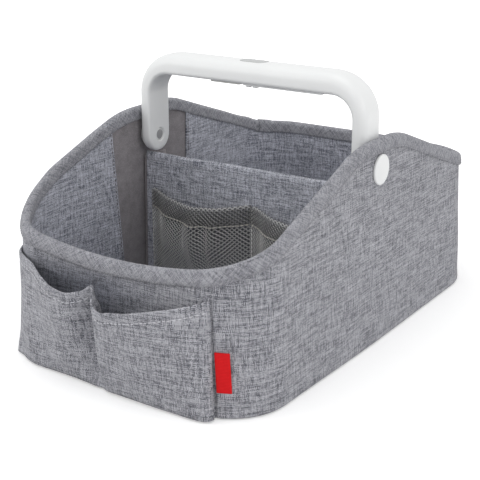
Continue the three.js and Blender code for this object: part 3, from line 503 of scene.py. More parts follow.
def stitch_row(name, path, start, end, thread, pitch, thick):
    """Machine stitches along path(run), which gives the point and the direction away from the cloth."""
    bm = bmesh.new()
    count = round((end - start) / pitch)
    for i in range(count):
        first, out = path(start + (end - start) * (i + 0.1) / count)
        last, _ = path(start + (end - start) * (i + 0.9) / count)
        along = (last - first) / 2
        side = along.cross(out).normalized()
        up = side.cross(along).normalized()
        place = Matrix((along, side * thick / 2, up * thick * 0.4)).transposed().to_4x4()
        place.translation = (first + last) / 2
        bmesh.ops.create_uvsphere(bm, u_segments=6, v_segments=4, radius=1, matrix=place)
    for face in bm.faces:
        face.smooth = True
    return add_piece(name, bm, thread)


def lining_sheet(name, node, start, end, seed):
    first, last = start - fold_lap, end + fold_lap

    def lining_depth(run, height):
        edge = min(run - first, last - run)
        folded = fold_rise * (1 - smooth_step(edge, fold_width - fold_ease, fold_width + fold_ease))
        corner = min(abs(abs(wrapped(run)) - place) for place in soft_corners)
        soft = soft_fold * math.exp(-(corner / soft_reach) ** 2)
        soft *= math.sin(run / soft_wave + soft_twist * height)
        calm = smooth_step(edge, *lining_calm) * smooth_step(rim_height(run) - height, *rim_calm)
        return lining_face + folded + calm * (slack(run, height, seed, lining_slack) + max(soft, soft_hollow))

    def place(run, rise):
        there = strip_slant(run, rim_height(run) * rise)
        height = inside_low + (rim_height(there) - lining_below_rim - inside_low) * rise
        return wall_point(there, lining_depth(run, height), height), (-run, height)

    columns = spread(first, last, 3.5 * mm, fold_steps)
    piece = add_piece(name, bent_grid(columns[::-1], spread(0, 1, 0.03), place), lining_cloth)
    give_thickness(piece, lining_thickness)
    fit(piece, "bin", "lining_cloth", node)
    seams = [first + fold_stitch, last - fold_stitch]
    for edge, run in zip(("right", "left"), seams if start > 0 else seams[::-1]):
        def path(height):
            _, out = plan_point(run)
            depth = lining_depth(run, height) + 0.12 * mm
            return wall_point(strip_slant(run, height), depth, height), -out

        low, high = 6 * mm, rim_height(run) - 11 * mm
        row = stitch_row(
            f"{name}_{edge}_stitches", path, low, high, dark_thread, pitch=3.2 * mm, thick=0.6 * mm,
        )
        fit(row, "bin", "lining_cloth")


front_end, back_end = side_run(strip_front), side_run(strip_back)
left_back_end = 2 * half_outline - back_end
lining_sheet("front_lining_cloth", "front_lining", -front_end, front_end, seed=31.2)
lining_sheet("back_lining_cloth", "back_lining", back_end, left_back_end, seed=37.9)

# Binding tape folded over the whole rim.
# A bias strip of the heather cloth, so its threads run at 45 degrees, sewn through all layers near its edge.
# It puckers a little between stitches and on the curves; its ends lap at the rear left corner.
tape_out, tape_width, tape_drop, tape_thickness = -1.2 * mm, 6.7 * mm, 10 * mm, 0.8 * mm
tape_start, tape_lap, lap_lift = -422 * mm, 11 * mm, 0.75 * mm
tape_puff, tape_inner_puff, tape_pucker, tape_pinch = 0.55 * mm, 0.1 * mm, 0.16 * mm, 0.35 * mm
tape_seam, seam_pitch, pucker_wave, pucker_at = 1.7 * mm, 3.1 * mm, 1.9 * mm, 2 * mm
tape_leg = tape_drop - tape_width / 2
tape_arch = math.pi * tape_width / 2
tape_flat = 2 * tape_leg + tape_arch
tape_dark, tape_light, tape_thread = (0.135, 0.138, 0.160, 1), (0.44, 0.44, 0.478, 1), 0.5 * mm
bias_cloth = heather_finish("bias_tape", tape_dark, tape_light, tape_thread, math.pi / 4)


def tape_point(run, across, lift=0.0):
    """Point on the tape's face, across metres up from its outer lower edge, over the rim and down inside."""
    radius = tape_width / 2 + lift
    middle = tape_out + tape_width / 2
    top = rim_height(run) - tape_width / 2
    stray = slack(run, 0, seed=44.0, size=0.7 * mm, wave=30 * mm)
    if across < tape_leg:
        share = across / tape_leg
        pucker = tape_pucker * math.sin(run / pucker_wave) * math.exp(-((across - pucker_at) / pucker_at) ** 2)
        puff = tape_puff * math.sin(math.pi * share) + pucker
        return wall_point(run, middle - radius - puff, top - (tape_leg - across) + stray * (1 - share))
    if across > tape_leg + tape_arch:
        drop = across - tape_leg - tape_arch
        share = drop / tape_leg
        puff = tape_inner_puff * math.sin(math.pi * share)
        return wall_point(run, middle + radius - tape_pinch + puff, top - drop + stray * share)
    turn = (across - tape_leg) / tape_arch * math.pi
    inner = tape_pinch * (1 - math.cos(turn)) / 2
    return wall_point(run, middle - radius * math.cos(turn) - inner, top + radius * math.sin(turn))


def tape_place(run, across):
    over = run - tape_start - 2 * half_outline
    lift = lap_lift * smooth_step(over, -2.5 * mm, 0.5 * mm)
    return tape_point(run, across, lift), (run, across)


tape_end = tape_start + 2 * half_outline
tape_columns = spread(tape_start, tape_end + tape_lap, 2 * mm)
tape_rows = [tape_flat * i / 26 for i in range(27)]
rim_binding = add_piece("rim_binding", bent_grid(tape_columns, tape_rows, tape_place), bias_cloth)
give_thickness(rim_binding, tape_thickness)
fit(rim_binding, "bin", "bias_tape", "rim_tape")
for name, across, facing in (("outer", tape_seam, 1), ("inner", tape_flat - tape_seam, -1)):
    def tape_path(run):
        _, out = plan_point(run)
        return tape_point(run, across, 0.1 * mm), out * facing

    row = stitch_row(
        name + "_rim_stitches", tape_path, tape_start, tape_end, sewing_thread,
        pitch=seam_pitch, thick=0.6 * mm,
    )
    fit(row, "bin", "bias_tape")

# Front pocket: one wide patch split into two open pockets by a seam left of the middle.
# The same cloth, cut wider than the panel so that both halves gape; its top edge is a folded and sewn hem.
# At the split the hem is tacked to the panel, and the cloth falls away from it in a deep fold.
pocket_low, pocket_thickness, pocket_gap = 1.2 * mm, 1.1 * mm, 0.85 * mm
pocket_hem, hem_fold, hem_groove, hem_pucker = 7 * mm, 1.15 * mm, 0.5 * mm, 0.25 * mm
hem_stitch = pocket_hem - 1 * mm
pocket_split, pocket_start, pocket_end = -9 * mm, -95.85 * mm, 77.85 * mm
# Millimetres: place along the front, stand-off at the bottom, stand-off of the hem, height of the hem.
pocket_hang = (
    (-95.85, 4.5, 0.6, 78), (-90, 2, 1.2, 77.8), (-85, 0.8, 2, 77.5), (-75, 0.6, 3.6, 77.3),
    (-65, 0.6, 6.5, 76.5), (-55, 0.6, 12.5, 75.5), (-45, 0.8, 17.5, 73.5), (-35, 1.2, 20, 70),
    (-25, 2, 19.5, 68), (-15, 3.2, 14.5, 69.5), (-10, 4, 10.5, 73), (-8, 4.2, 11.5, 71),
    (-5, 4.8, 15.5, 63.5), (2, 5.4, 17.5, 59.8), (12, 5.7, 20, 62.6), (22, 6, 20, 64),
    (32, 6.3, 19, 66.3), (42, 6.5, 17, 68.7), (52, 6.5, 14, 70.8), (62, 6.5, 9.5, 73),
    (70, 6.6, 4.5, 75.2), (75, 6.2, 1.6, 76.6), (77.85, 2.2, 0.4, 77),
)
crease_start, crease_length, crease_width, ridge_above = -50 * mm, 44 * mm, 4 * mm, 7 * mm


def pocket_shape(run, rise):
    """Distance from the panel and height of the pocket's face, and the height of its hem."""
    foot, hem, top = (value * mm for value in along_table(pocket_hang, run / mm))
    # The right pocket swings out from its foot at once beside the split, the rest only as it rises.
    near = math.exp((pocket_split - run) / (16 * mm)) if run > pocket_split else 0
    fullness = rise ** (1 - 0.55 * near)
    swing = 0.4 * math.sin(fullness * math.pi / 2) + 0.6 * fullness
    height = pocket_low + (top - pocket_low) * rise
    # Beside the split the cloth is held back: narrowly on the right, more widely below on the left.
    aside = run - pocket_split + 1.2 * mm - 6 * mm * max(0, 1 - height / (32 * mm)) ** 2
    reach = 3 * mm if aside > 0 else (6 + 11 * (1 - rise)) * mm
    held = math.exp(-(aside / reach) ** 2) * smooth_step(rise, 0, 0.07)
    held *= 1 - 0.8 * smooth_step(rise, 0.72, 1)
    # A crease with a ridge above it runs down to the right across the left pocket.
    along = (run - crease_start) / crease_length
    off_crease = height - (32 - 30 * along) * mm
    along_crease = smooth_step(along, 0, 0.35) * (1 - smooth_step(along, 0.9, 1.1))
    crease = math.exp(-(off_crease / crease_width) ** 2) * along_crease
    ridge = math.exp(-((off_crease - ridge_above) / crease_width) ** 2) * along_crease
    stand = (foot + (hem - foot) * swing) * (1 - 0.9 * held) * (1 - 0.5 * crease)
    return stand + 0.9 * mm * ridge * (1 - held), height, top


def pocket_point(run, rise, inside=0.0):
    stand, height, top = pocket_shape(run, rise)
    edge = min(run - pocket_start, pocket_end - run)
    calm = smooth_step(edge, 0, 12 * mm) * smooth_step(height, 0, 12 * mm)
    drape = slack(run, height * 0.6, seed=52.3, size=1.6 * mm, wave=26 * mm)
    off_stitch = top - height - hem_stitch
    sewn = hem_groove * math.exp(-(off_stitch / (0.8 * mm)) ** 2)
    pucker = hem_pucker * math.sin(run / (2.1 * mm)) * math.exp(-(off_stitch / (2.5 * mm)) ** 2)
    out = pocket_gap + stand + calm * (drape + pucker) - sewn - inside
    return wall_point(seam_lean(run, height), -out, height), height


def pocket_place(run, row):
    """Rows up to 1 rise on the outside; the rows above turn over the hem and go down inside it."""
    if row <= 1:
        point, height = pocket_point(run, row)
        return point, (run, height)
    turn = math.pi * min(1, (row - 1) / 0.3)
    top = pocket_point(run, 1)[1]
    down = pocket_hem * max(0, (row - 1.3) / 0.7)
    point, height = pocket_point(run, 1 - down / (top - pocket_low), hem_fold * (1 - math.cos(turn)))
    return point + Vector((0, 0, hem_fold * math.sin(turn))), (run, top + hem_fold * turn + down)


pocket_columns = sorted({*spread(pocket_start, pocket_end, 2 * mm), *spread(-16 * mm, 6 * mm, 0.9 * mm)})
stitch_rows = [0.875, 0.887, 0.897, 0.905, 0.915, 0.93, 0.95, 0.97, 0.985, 1]
turned_rows = [1.05, 1.1, 1.15, 1.2, 1.25, 1.3, 1.6, 2]
pocket_rows = spread(0, 0.86, 0.035) + stitch_rows + turned_rows
pocket_cloth = add_piece("pocket_cloth", bent_grid(pocket_columns, pocket_rows, pocket_place), heather)
give_thickness(pocket_cloth, pocket_thickness)
fit(pocket_cloth, "bin", "heather_cloth", "front_pocket")


def pocket_hem_path(run):
    top = pocket_shape(run, 1)[2]
    rise = (top - hem_stitch - pocket_low) / (top - pocket_low)
    _, out = plan_point(run)
    return pocket_point(run, rise)[0] + out * 0.1 * mm, out


hem_thread = thread_finish("hem_thread", (0.48, 0.48, 0.51, 1), (0.86, 0.86, 0.90, 1))
for side, start, end in (
    ("left", pocket_start + 2 * mm, pocket_split - 3 * mm),
    ("right", pocket_split + 3 * mm, pocket_end - 2 * mm),
):
    row = stitch_row(
        side + "_pocket_stitches", pocket_hem_path, start, end, hem_thread, pitch=seam_pitch, thick=0.7 * mm,
    )
    fit(row, "bin", "heather_cloth")

# Bare cloth tab caught in the right front seam.
# Red satin ribbon folded once, its two raw ends sewn into the seam; it lies flat on the side panel.
# A ribbon's fine cross ribs are its only pattern.
tab_width, tab_length, tab_low, tab_fold, tab_curl = 9 * mm, 26.5 * mm, 18.8 * mm, 0.5 * mm, 0.5 * mm
tab_bend = math.pi * tab_fold
tab_flat = 2 * tab_width + tab_bend
red_ribbon, tree, shader = start_finish("red_ribbon", Roughness=0.6, Specular_IOR_Level=0.15)
cut = cut_place(tree)
rib_waves = {"Vector": cut, "Scale": 330.0, "Distortion": 0.4, "Detail": 1.0}
ribs = add_node(tree, "TexWave", rib_waves, bands_direction="Y").outputs["Fac"]
rib_share = reckon(tree, "MULTIPLY", ribs, noise_on(tree, cut, scale=260.0, detail=3.0))
colour_by(shader, rib_share, (0.60, 0.006, 0.009, 1), (0.84, 0.014, 0.018, 1))
roughen(shader, ribs, strength=0.4, distance=0.12 * mm)


def tab_place(along, rise):
    reach, turn = along, 0.0
    if along > tab_width:
        turn = min(math.pi, (along - tab_width) / tab_fold)
        reach = tab_width if turn < math.pi else tab_flat - along
    out = tab_fold * (1 + math.cos(turn))
    height = tab_low + tab_length * rise
    run = right_seam + 1.6 * mm - 0.05 * height + reach + tab_fold * math.sin(turn)
    curl = tab_curl * (reach / tab_width) ** 2 * (1 + 0.5 * math.sin(9 * rise))
    return wall_point(run, -(0.35 * mm + out + curl), height), (along, tab_length * rise)


tab_columns = spread(0, tab_width, 1 * mm)
tab_columns += [tab_width + tab_bend * i / 6 for i in range(1, 6)]
tab_columns += spread(tab_width + tab_bend, tab_flat, 1 * mm)
seam_ribbon = add_piece("seam_ribbon", bent_grid(tab_columns, spread(0, 1, 0.05), tab_place), red_ribbon)
give_thickness(seam_ribbon, 0.3 * mm)
fit(seam_ribbon, "bin", "red_cloth", "seam_tab")

# Divider: a cloth sleeve over a stiff board, standing across the bin.
# Heather cloth coloured lighter as painted light, with painted shade behind the net, folded over the board's
# top edge and closed by turned seams.
# Hook tabs sewn along its back edges press against the loop strips, so it can be moved.
divider_y, divider_low, divider_high, divider_gap = -7 * mm, 5.8 * mm, 113.05 * mm, 6.1 * mm
sleeve_half, sleeve_thickness = 2.3 * mm, 0.9 * mm
sleeve_leg = divider_high - divider_low - sleeve_half
sleeve_bend = math.pi * sleeve_half
sleeve_flat = 2 * sleeve_leg + sleeve_bend
# Painted light: the sleeve's tones are lighter than the outer cloth's, standing in for the light that reaches
# inside the bin.
sleeve_dark, sleeve_light = (0.102, 0.110, 0.140, 1), (0.67, 0.682, 0.75, 1)
divider_cloth = heather_finish("divider_cloth", sleeve_dark, sleeve_light, cloth_thread)
# Painted shade: behind the net the sleeve's cloth is darkened, darkest under the band, standing in for the
# shade inside the pouches.
tree, shader, open_cloth = painted(divider_cloth)
cut = axes_of(tree, cut_place(tree))
past_side = ramp(tree, reckon(tree, "ABSOLUTE", cut["X"]), 86 * mm, 90 * mm)
past_top = ramp(tree, cut["Y"], 58 * mm, 70 * mm)
band_shade_share = ramp(tree, cut["Y"], 15 * mm, 52 * mm)
net_cloth = blend_colours(tree, band_shade_share, (0.21, 0.213, 0.23, 1), (0.065, 0.066, 0.072, 1))
colour_by(shader, reckon(tree, "MAXIMUM", past_side, past_top), net_cloth, open_cloth)


def divider_reach(height):
    return half_width - wall_lean * height - divider_gap


def sleeve_rounding(inset):
    """How far the two faces stand apart near a closed edge, as a share of the full thickness."""
    return math.sqrt(max(0.02, 1 - (1 - min(1, inset / sleeve_half)) ** 2))


def sleeve_place(share, along):
    if along < sleeve_leg:
        height, side, top = divider_low + along, -1.0, 0.0
    elif along > sleeve_flat - sleeve_leg:
        height, side, top = divider_low + sleeve_flat - along, 1.0, 0.0
    else:
        turn = (along - sleeve_leg) / sleeve_half
        height, side, top = divider_high - sleeve_half, -math.cos(turn), math.sin(turn)
    reach = divider_reach(height)
    edge = reach * (1 - abs(share))
    low = height - divider_low
    pinch = sleeve_rounding(edge) * sleeve_rounding(low)
    calm = smooth_step(edge, 2 * mm, 14 * mm) * smooth_step(low, 2 * mm, 14 * mm) * abs(side)
    swell = calm * slack(reach * share, height, seed=61.0, size=0.7 * mm, wave=34 * mm)
    wave = top * slack(reach * share, 0, seed=63.0, size=0.8 * mm, wave=40 * mm)
    y, z = divider_y + side * (sleeve_half * pinch + swell), height + top * sleeve_half + wave
    return Vector((reach * share, y, z)), (reach * share, along)


closed_edges = (0.002, 0.006, 0.012, 0.02)
sleeve_columns = sorted({*spread(-1, 1, 0.03), *(s * (1 - e) for s in (-1, 1) for e in closed_edges)})
sleeve_rows = {*spread(0, sleeve_leg, 3.5 * mm), *spread(sleeve_flat - sleeve_leg, sleeve_flat, 3.5 * mm)}
sleeve_rows |= {sleeve_leg + sleeve_bend * i / 8 for i in range(9)}
for inset in (0.3 * mm, 0.8 * mm, 1.5 * mm):
    sleeve_rows |= {inset, sleeve_flat - inset}
sleeve_grid = bent_grid(sleeve_columns, sorted(sleeve_rows), sleeve_place)
divider_sleeve = add_piece("divider_sleeve", sleeve_grid, divider_cloth)
give_thickness(divider_sleeve, sleeve_thickness)
fit(divider_sleeve, "divider", "heather_cloth", "divider_front", "divider_back")
to_front = Vector((0, -1, 0))


def sleeve_path(share):
    point, _ = sleeve_place(share, sleeve_leg - 4 * mm)
    return point + to_front * 0.1 * mm, to_front


sleeve_stitches = stitch_row(
    "divider_stitches", sleeve_path, -0.97, 0.97, sewing_thread, pitch=0.034, thick=0.5 * mm,
)
fit(sleeve_stitches, "divider", "heather_cloth")
hook_low, hook_high, hook_front, hook_back, hook_gap = 9.8 * mm, 109 * mm, -9 * mm, 16.7 * mm, 5.2 * mm
hook_columns, hook_rows = spread(hook_front, hook_back, 4 * mm), spread(hook_low, hook_high, 6 * mm)
for name, node, side in (("right_hook_tab", "right_hook_flap", 1), ("left_hook_tab", "left_hook_flap", -1)):
    def hook_place(y, height):
        out = half_width - wall_lean * height - hook_gap + slack(y, height, seed=71.0, size=0.1 * mm)
        return Vector((side * out, y, height)), (-side * y, height)

    hook_tab = add_piece(name, bent_grid(hook_columns[::-side], hook_rows, hook_place), loop_pile)
    give_thickness(hook_tab, -1.0 * mm)
    fit(hook_tab, "divider", "loop_pile", node)

# Net pocket along the divider's front, tacked in the middle so that it makes two pouches.
# Warp-knit polyester net with diamond holes about 3 mm across, gathered so that both pouches stand open.
# Its top is a doubled band with a saw-tooth edge, held by one row of pale stitches.
net_reach, net_split, net_low, net_high = 90.44 * mm, 2 * mm, 9 * mm, 86.05 * mm
net_face, net_sag, net_stand, net_fold, net_crease = -10.05 * mm, 5 * mm, 19 * mm, 3 * mm, 2.2 * mm
net_thread, net_hole, net_row, net_share = 0.62 * mm, 3.6 * mm, 3.2 * mm, 0.5
band_rise, band_layer, pouch_tall, band_tall = 0.8053, 0.9 * mm, 66 * mm, 15 * mm


def net_point(x, rise, back=0.0):
    """Point on the net, which bellies out between its tacked ends and hangs in folds, most of all above."""
    start, end = (-net_reach, net_split) if x < net_split else (net_split, net_reach)
    share = min(1, max(0, (x - start) / (end - start)))
    swell = math.sin(math.pi * share ** 1.1)
    top = net_high - net_sag * swell
    height = net_low + (top - net_low) * rise
    gather = (0.35 + 0.65 * smooth_step(rise, 0.2, 0.7)) * (1 - 0.75 * smooth_step(rise, 0.78, 0.9))
    fold = net_fold * math.cos(8 * math.pi * share + 1.3 * math.sin(3 * math.pi * share)) * gather
    crease = net_crease * math.exp(-((share - 0.42 - 0.05 * rise) / 0.018) ** 2)
    crease *= 1 - smooth_step(rise, 0.55, 0.85)
    drape = slack(x, height, seed=83.0, size=1.2 * mm, wave=18 * mm)
    stand = net_stand * math.sin(math.pi * (0.08 + 0.62 * rise)) + fold + crease + drape
    return Vector((x, net_face + back - stand * swell, height))


def knit_net(name, start, end, low, high, finish, back=0.0, shift=0.0):
    """Diamond net between two heights: a grid with a point in each cell, whose own edges are then taken out."""
    columns = spread(start, end, net_hole)
    count = round((net_high - net_low) * (high - low) / net_row)
    rows = [low + (high - low) * i / count for i in range(count + 1)]

    def place(x, rise):
        hole = ((x - start) / (columns[1] - start), (rise - high) / (rows[1] - low))
        return net_point(min(end, x + shift), rise, back), hole

    bm = bent_grid(columns, rows, place)
    straight = [edge for edge in bm.edges if not edge.is_boundary]
    bmesh.ops.poke(bm, faces=bm.faces[:])
    bmesh.ops.dissolve_edges(bm, edges=straight, use_verts=False)
    if high == 1:
        top = net_high - net_sag - 0.6 * mm
        rim = [e for e in bm.edges if e.is_boundary and all(vert.co.z > top for vert in e.verts)]
        bmesh.ops.delete(bm, geom=list({edge.link_faces[0] for edge in rim}), context="FACES")
    bmesh.ops.wireframe(
        bm, faces=bm.faces[:], thickness=net_thread, offset=0.5, use_replace=True,
        use_boundary=True, use_even_offset=True, material_offset=0,
    )
    for face in bm.faces:
        face.smooth = True
    return add_piece(name, bm, finish)


def net_finish(name, dark, light, tip):
    """Shiny yarn with painted glints: where the net turns one way the rising yarns are coloured light,
    elsewhere the falling ones.
    The loops along the top take the tip colour."""
    finish, tree, shader = start_finish(name, Roughness=0.36, Specular_IOR_Level=0.8, Sheen_Weight=0.2)
    cut = cut_place(tree)
    holes = axes_of(tree, cut)
    slants = [
        reckon(tree, "PINGPONG", reckon(tree, way, holes["X"], holes["Y"]), 0.5) for way in ("ADD", "SUBTRACT")
    ]
    turned_right = ramp(tree, noise_on(tree, cut, scale=0.17, detail=1.0), 0.3, 0.7)
    # Painted highlight: the light colour along one slant of yarns stands in for glints.
    painted_glint = ramp(tree, mix_values(tree, turned_right, *slants), 0.05, 0.35)
    top_loops = ramp(tree, holes["Y"], -1.0, -0.5)
    colour_by(shader, top_loops, blend_colours(tree, painted_glint, dark, light), tip)
    filaments = noise_on(tree, object_place(tree), scale=1600.0, detail=3.0)
    roughen(shader, filaments, strength=0.4, distance=0.1 * mm)
    return finish


# Painted shade: the band's yarns are coloured darker than the pouch's, and its back layer darkest, for the
# shade inside the doubled band; the band's paler top loops are a painted highlight.
yarn_dark, band_back_light = (0.42, 0.417, 0.403, 1), (0.14, 0.138, 0.132, 1)
net_yarn = net_finish("net_yarn", yarn_dark, (1, 0.995, 0.97, 1), yarn_dark)
band_yarn = net_finish("band_yarn", (0.13, 0.129, 0.123, 1), (0.52, 0.515, 0.50, 1), (0.58, 0.575, 0.56, 1))
band_back_yarn = net_finish("band_back_yarn", (0.04, 0.039, 0.037, 1), band_back_light, band_back_light)
pale_thread = thread_finish("pale_thread", (0.52, 0.49, 0.43, 1), (0.88, 0.84, 0.76, 1))


def band_path(x):
    return net_point(x, band_rise) + to_front * band_layer, to_front


for side, start, end in (("left", -net_reach, net_split), ("right", net_split, net_reach)):
    pouch = knit_net(side + "_net_pouch", start, end, 0, band_rise, net_yarn)
    band = knit_net(side + "_net_band", start, end, band_rise, 1, band_yarn)
    backing = knit_net(
        side + "_net_band_back", start, end, band_rise, 1, band_back_yarn, back=band_layer, shift=net_hole / 2,
    )
    seam = stitch_row(
        side + "_net_stitches", band_path, start + 1 * mm, end - 1 * mm, pale_thread,
        pitch=2.9 * mm, thick=0.8 * mm,
    )
    fit(pouch, "divider", "net_cloth", "mesh_pocket")
    fit(band, "divider", "net_cloth", "mesh_band")
    fit(backing, "divider", "net_cloth")
    fit(seam, "divider", "net_cloth")
    around = [net_point(start + (end - start) * i / 60, 0.7) for i in range(61)]

# Carrying handle: one moulding, two legs and a grip in a wide U.
# Satin white plastic; large rounded outer edges, a flatter inner face, and round leg ends on the pivots.
# Bays for the lamp and the cells open below, the button's hole above, a recess for a screw plug in each leg.
leg_outer, leg_inner, handle_top, grip_bottom = 96.63 * mm, 86.03 * mm, 191.9 * mm, 176.6 * mm
outer_bend, inner_bend, boss_radius = 31 * mm, 16.5 * mm, 12.75 * mm
leg_edges, grip_edges = (5.6 * mm, 2.4 * mm), (8.5 * mm, 3 * mm)


def gloss_by(shader, share, low, high):
    tree = shader.id_data
    rough = add_node(tree, "MapRange", {"Value": share, "To Min": low, "To Max": high})
    tree.links.new(rough.outputs[0], shader.inputs["Roughness"])


def plastic_finish(name, shade, rough):
    finish, tree, shader = start_finish(name, Coat_Weight=0.08, Coat_Roughness=0.3)
    where = object_place(tree)
    dimmer = tuple(part * 0.94 for part in shade[:3]) + (1,)
    colour_by(shader, noise_on(tree, where, scale=30.0, detail=2.0), dimmer, shade)
    grain = noise_on(tree, where, scale=2200.0, detail=2.0)
    gloss_by(shader, grain, rough - 0.06, rough + 0.06)
    roughen(shader, grain, strength=0.08, distance=0.1 * mm)
    return finish


handle_white, plug_grey = (0.85, 0.86, 0.86, 1), (0.33, 0.333, 0.34, 1)
white_plastic = plastic_finish("white_plastic", handle_white, rough=0.38)
grey_plastic = plastic_finish("grey_plastic", plug_grey, rough=0.5)


def flat_point(x, z):
    return Vector((x, 0, z))


def handle_stations():
    """Outer point, inner point, half width, drop below the pivot and share of the bend of each section,
    from the right leg's end to the grip's middle."""
    stations = []
    for i in range(9):
        angle = math.pi / 2 * (1 - i / 9)
        drop, half = boss_radius * math.sin(angle), boss_radius * math.cos(angle)
        low = pivot_z - drop
        stations.append((flat_point(leg_outer, low), flat_point(leg_inner, low), half, drop, 0))
    outer_leg, inner_leg = handle_top - outer_bend - pivot_z, grip_bottom - inner_bend - pivot_z
    for i in range(5):
        outer = flat_point(leg_outer, pivot_z + outer_leg * (i / 5))
        inner = flat_point(leg_inner, pivot_z + inner_leg * (i / 5))
        stations.append((outer, inner, boss_radius, 0, 0))
    for i in range(25):
        angle = math.pi / 2 * i / 24
        turn = flat_point(math.cos(angle), math.sin(angle))
        outer = flat_point(leg_outer - outer_bend, handle_top - outer_bend) + turn * outer_bend
        inner = flat_point(leg_inner - inner_bend, grip_bottom - inner_bend) + turn * inner_bend
        stations.append((outer, inner, boss_radius, 0, i / 24))
    for i in range(1, 8):
        left = 1 - i / 7
        outer = flat_point((leg_outer - outer_bend) * left, handle_top)
        inner = flat_point((leg_inner - inner_bend) * left, grip_bottom)
        stations.append((outer, inner, boss_radius, 0, 1))
    return stations


half_handle = handle_stations()
mirror_x = Vector((-1, 1, 1))
whole_handle = half_handle + [(o * mirror_x, i * mirror_x, *rest) for o, i, *rest in half_handle[-2::-1]]
edge_steps = [*range(-9, 0), *range(1, 10)]
section = [(0, step) for step in edge_steps] + [(1, -step) for step in edge_steps]


def edge_drop(radius, past_middle):
    """How far an edge of that radius has rounded away, at a distance from the section's middle."""
    past = min(radius, max(0, past_middle - boss_radius + radius))
    return radius - math.sqrt(radius ** 2 - past ** 2)


def handle_place(station, corner):
    outer, inner, half, drop, bend = whole_handle[station]
    face, step = section[corner % len(section)]
    radius = leg_edges[face] + (grip_edges[face] - leg_edges[face]) * smooth_step(bend, 0, 1)
    flat = boss_radius - radius
    if abs(step) == 1:
        share = 0.4 * flat
    else:
        share = flat + radius * math.sin(math.pi / 2 * (abs(step) - 2) / 7)
    y = math.copysign(share / boss_radius * half, step)
    across = (outer - inner).normalized() * edge_drop(radius, math.hypot(y, drop))
    return (inner + across if face else outer - across) + Vector((0, pivot_y + y, 0)), (0, 0)


def turned(profile, side=1, segments=48):
    """A piece turned on the pivot axis from points of radius and distance out to one side, as a mesh."""
    bm = bmesh.new()
    points = [bm.verts.new((side * out, pivot_y, pivot_z + radius)) for radius, out in profile]
    for first, second in zip(points, points[1:]):
        bm.edges.new((first, second))
    bmesh.ops.spin(
        bm, geom=bm.verts[:] + bm.edges[:], cent=(0, pivot_y, pivot_z), axis=(1, 0, 0),
        angle=2 * math.pi, steps=segments, use_merge=True,
    )
    bmesh.ops.remove_doubles(bm, verts=bm.verts[:], dist=1e-6)
    bmesh.ops.recalc_face_normals(bm, faces=bm.faces[:])
    return bm


def rounded_block(low, high, corner, edge=0.0):
    """A block between two corners with its upright edges rounded, and its top edge too if asked.
    With no corner radius only its long top edges are rounded."""
    bm = bmesh.new()
    low, high = Vector(low), Vector(high)
    shape = Matrix.Translation((low + high) / 2) @ Matrix.Diagonal((*(high - low), 1))
    bmesh.ops.create_cube(bm, size=1, matrix=shape)
    if corner:
        round_edges(bm, [e for e in bm.edges if rise_of(e) > nearly], corner, 8)
    if edge:
        top = [e for e in bm.edges if all(v.co.z > high.z - nearly for v in e.verts)]
        if not corner:
            top = [e for e in top if abs(e.verts[0].co.x - e.verts[1].co.x) > nearly]
        round_edges(bm, top, edge, 4)
    return bm


def smooth_faces(piece, angle=35):
    for face in piece.data.polygons:
        face.use_smooth = True
    piece.data.set_sharp_from_angle(angle=math.radians(angle))


def cut_away(piece, cutters):
    """Cuts each cutter mesh out of the piece and keeps the cut mesh."""
    for bm in cutters:
        cutter = add_piece("cutter", bm, white_plastic)
        cut = piece.modifiers.new("cut", "BOOLEAN")
        cut.operation, cut.solver, cut.object = "DIFFERENCE", "EXACT", cutter
        done = bpy.data.meshes.new_from_object(piece.evaluated_get(bpy.context.evaluated_depsgraph_get()))
        piece.modifiers.remove(cut)
        piece.data = done
        bpy.data.objects.remove(cutter)


bm = bent_grid(list(range(len(whole_handle))), list(range(len(section) + 1)), handle_place)
bmesh.ops.remove_doubles(bm, verts=bm.verts[:], dist=1e-6)
bmesh.ops.dissolve_degenerate(bm, edges=bm.edges[:], dist=1e-6)
bmesh.ops.recalc_face_normals(bm, faces=bm.faces[:])
handle = add_piece("carry_handle", bm, white_plastic)
bay_low, bay_high, bay_edge, cut_past = 178.8 * mm, 190 * mm, 4.5 * mm, 1 * mm
window_half, window_corner, window_top = 7.4 * mm, 2 * mm, bay_low + 0.5 * mm
lens_window, door_window, button_hole = (-34.3 * mm, -7.7 * mm), (-6.3 * mm, 59.8 * mm), (-10.8 * mm, 10.8 * mm)
lamp_bay, cell_bay, lamp_ledge = (-36 * mm, 11.6 * mm), (12.8 * mm, 61.1 * mm), 182.6 * mm
bore_end, bore_radius, recess_radius, recess_rim = leg_inner + 5.2 * mm, 3.85 * mm, 4.9 * mm, 5.6 * mm


def bay(start, end, half, low, high, corner=0.6 * mm, edge=0.0):
    return rounded_block((start, pivot_y - half, low), (end, pivot_y + half, high), corner, edge)


plug_recess = [
    (0, leg_inner - cut_past), (recess_rim, leg_inner - cut_past), (recess_rim, leg_inner),
    (recess_radius, leg_inner + 0.7 * mm), (recess_radius, bore_end), (bore_radius, bore_end),
    (bore_radius, leg_outer + cut_past), (0, leg_outer + cut_past),
]
cut_away(handle, [
    bay(*lens_window, window_half, grip_bottom - cut_past, window_top, corner=window_corner),
    bay(*door_window, window_half, grip_bottom - cut_past, window_top, corner=window_corner),
    bay(*lamp_bay, 8.4 * mm, bay_low, lamp_ledge),
    bay(*lamp_bay, 10 * mm, lamp_ledge - cut_past, bay_high, corner=0, edge=bay_edge),
    bay(*cell_bay, 10.95 * mm, bay_low, bay_high, corner=0, edge=bay_edge),
    bay(*button_hole, 5.8 * mm, bay_high - cut_past, handle_top + cut_past, corner=4.9 * mm),
    turned(plug_recess),
    turned(plug_recess, -1),
])
smooth_faces(handle, angle=32)
fit(handle, "handle", "white_plastic", "handle_frame")

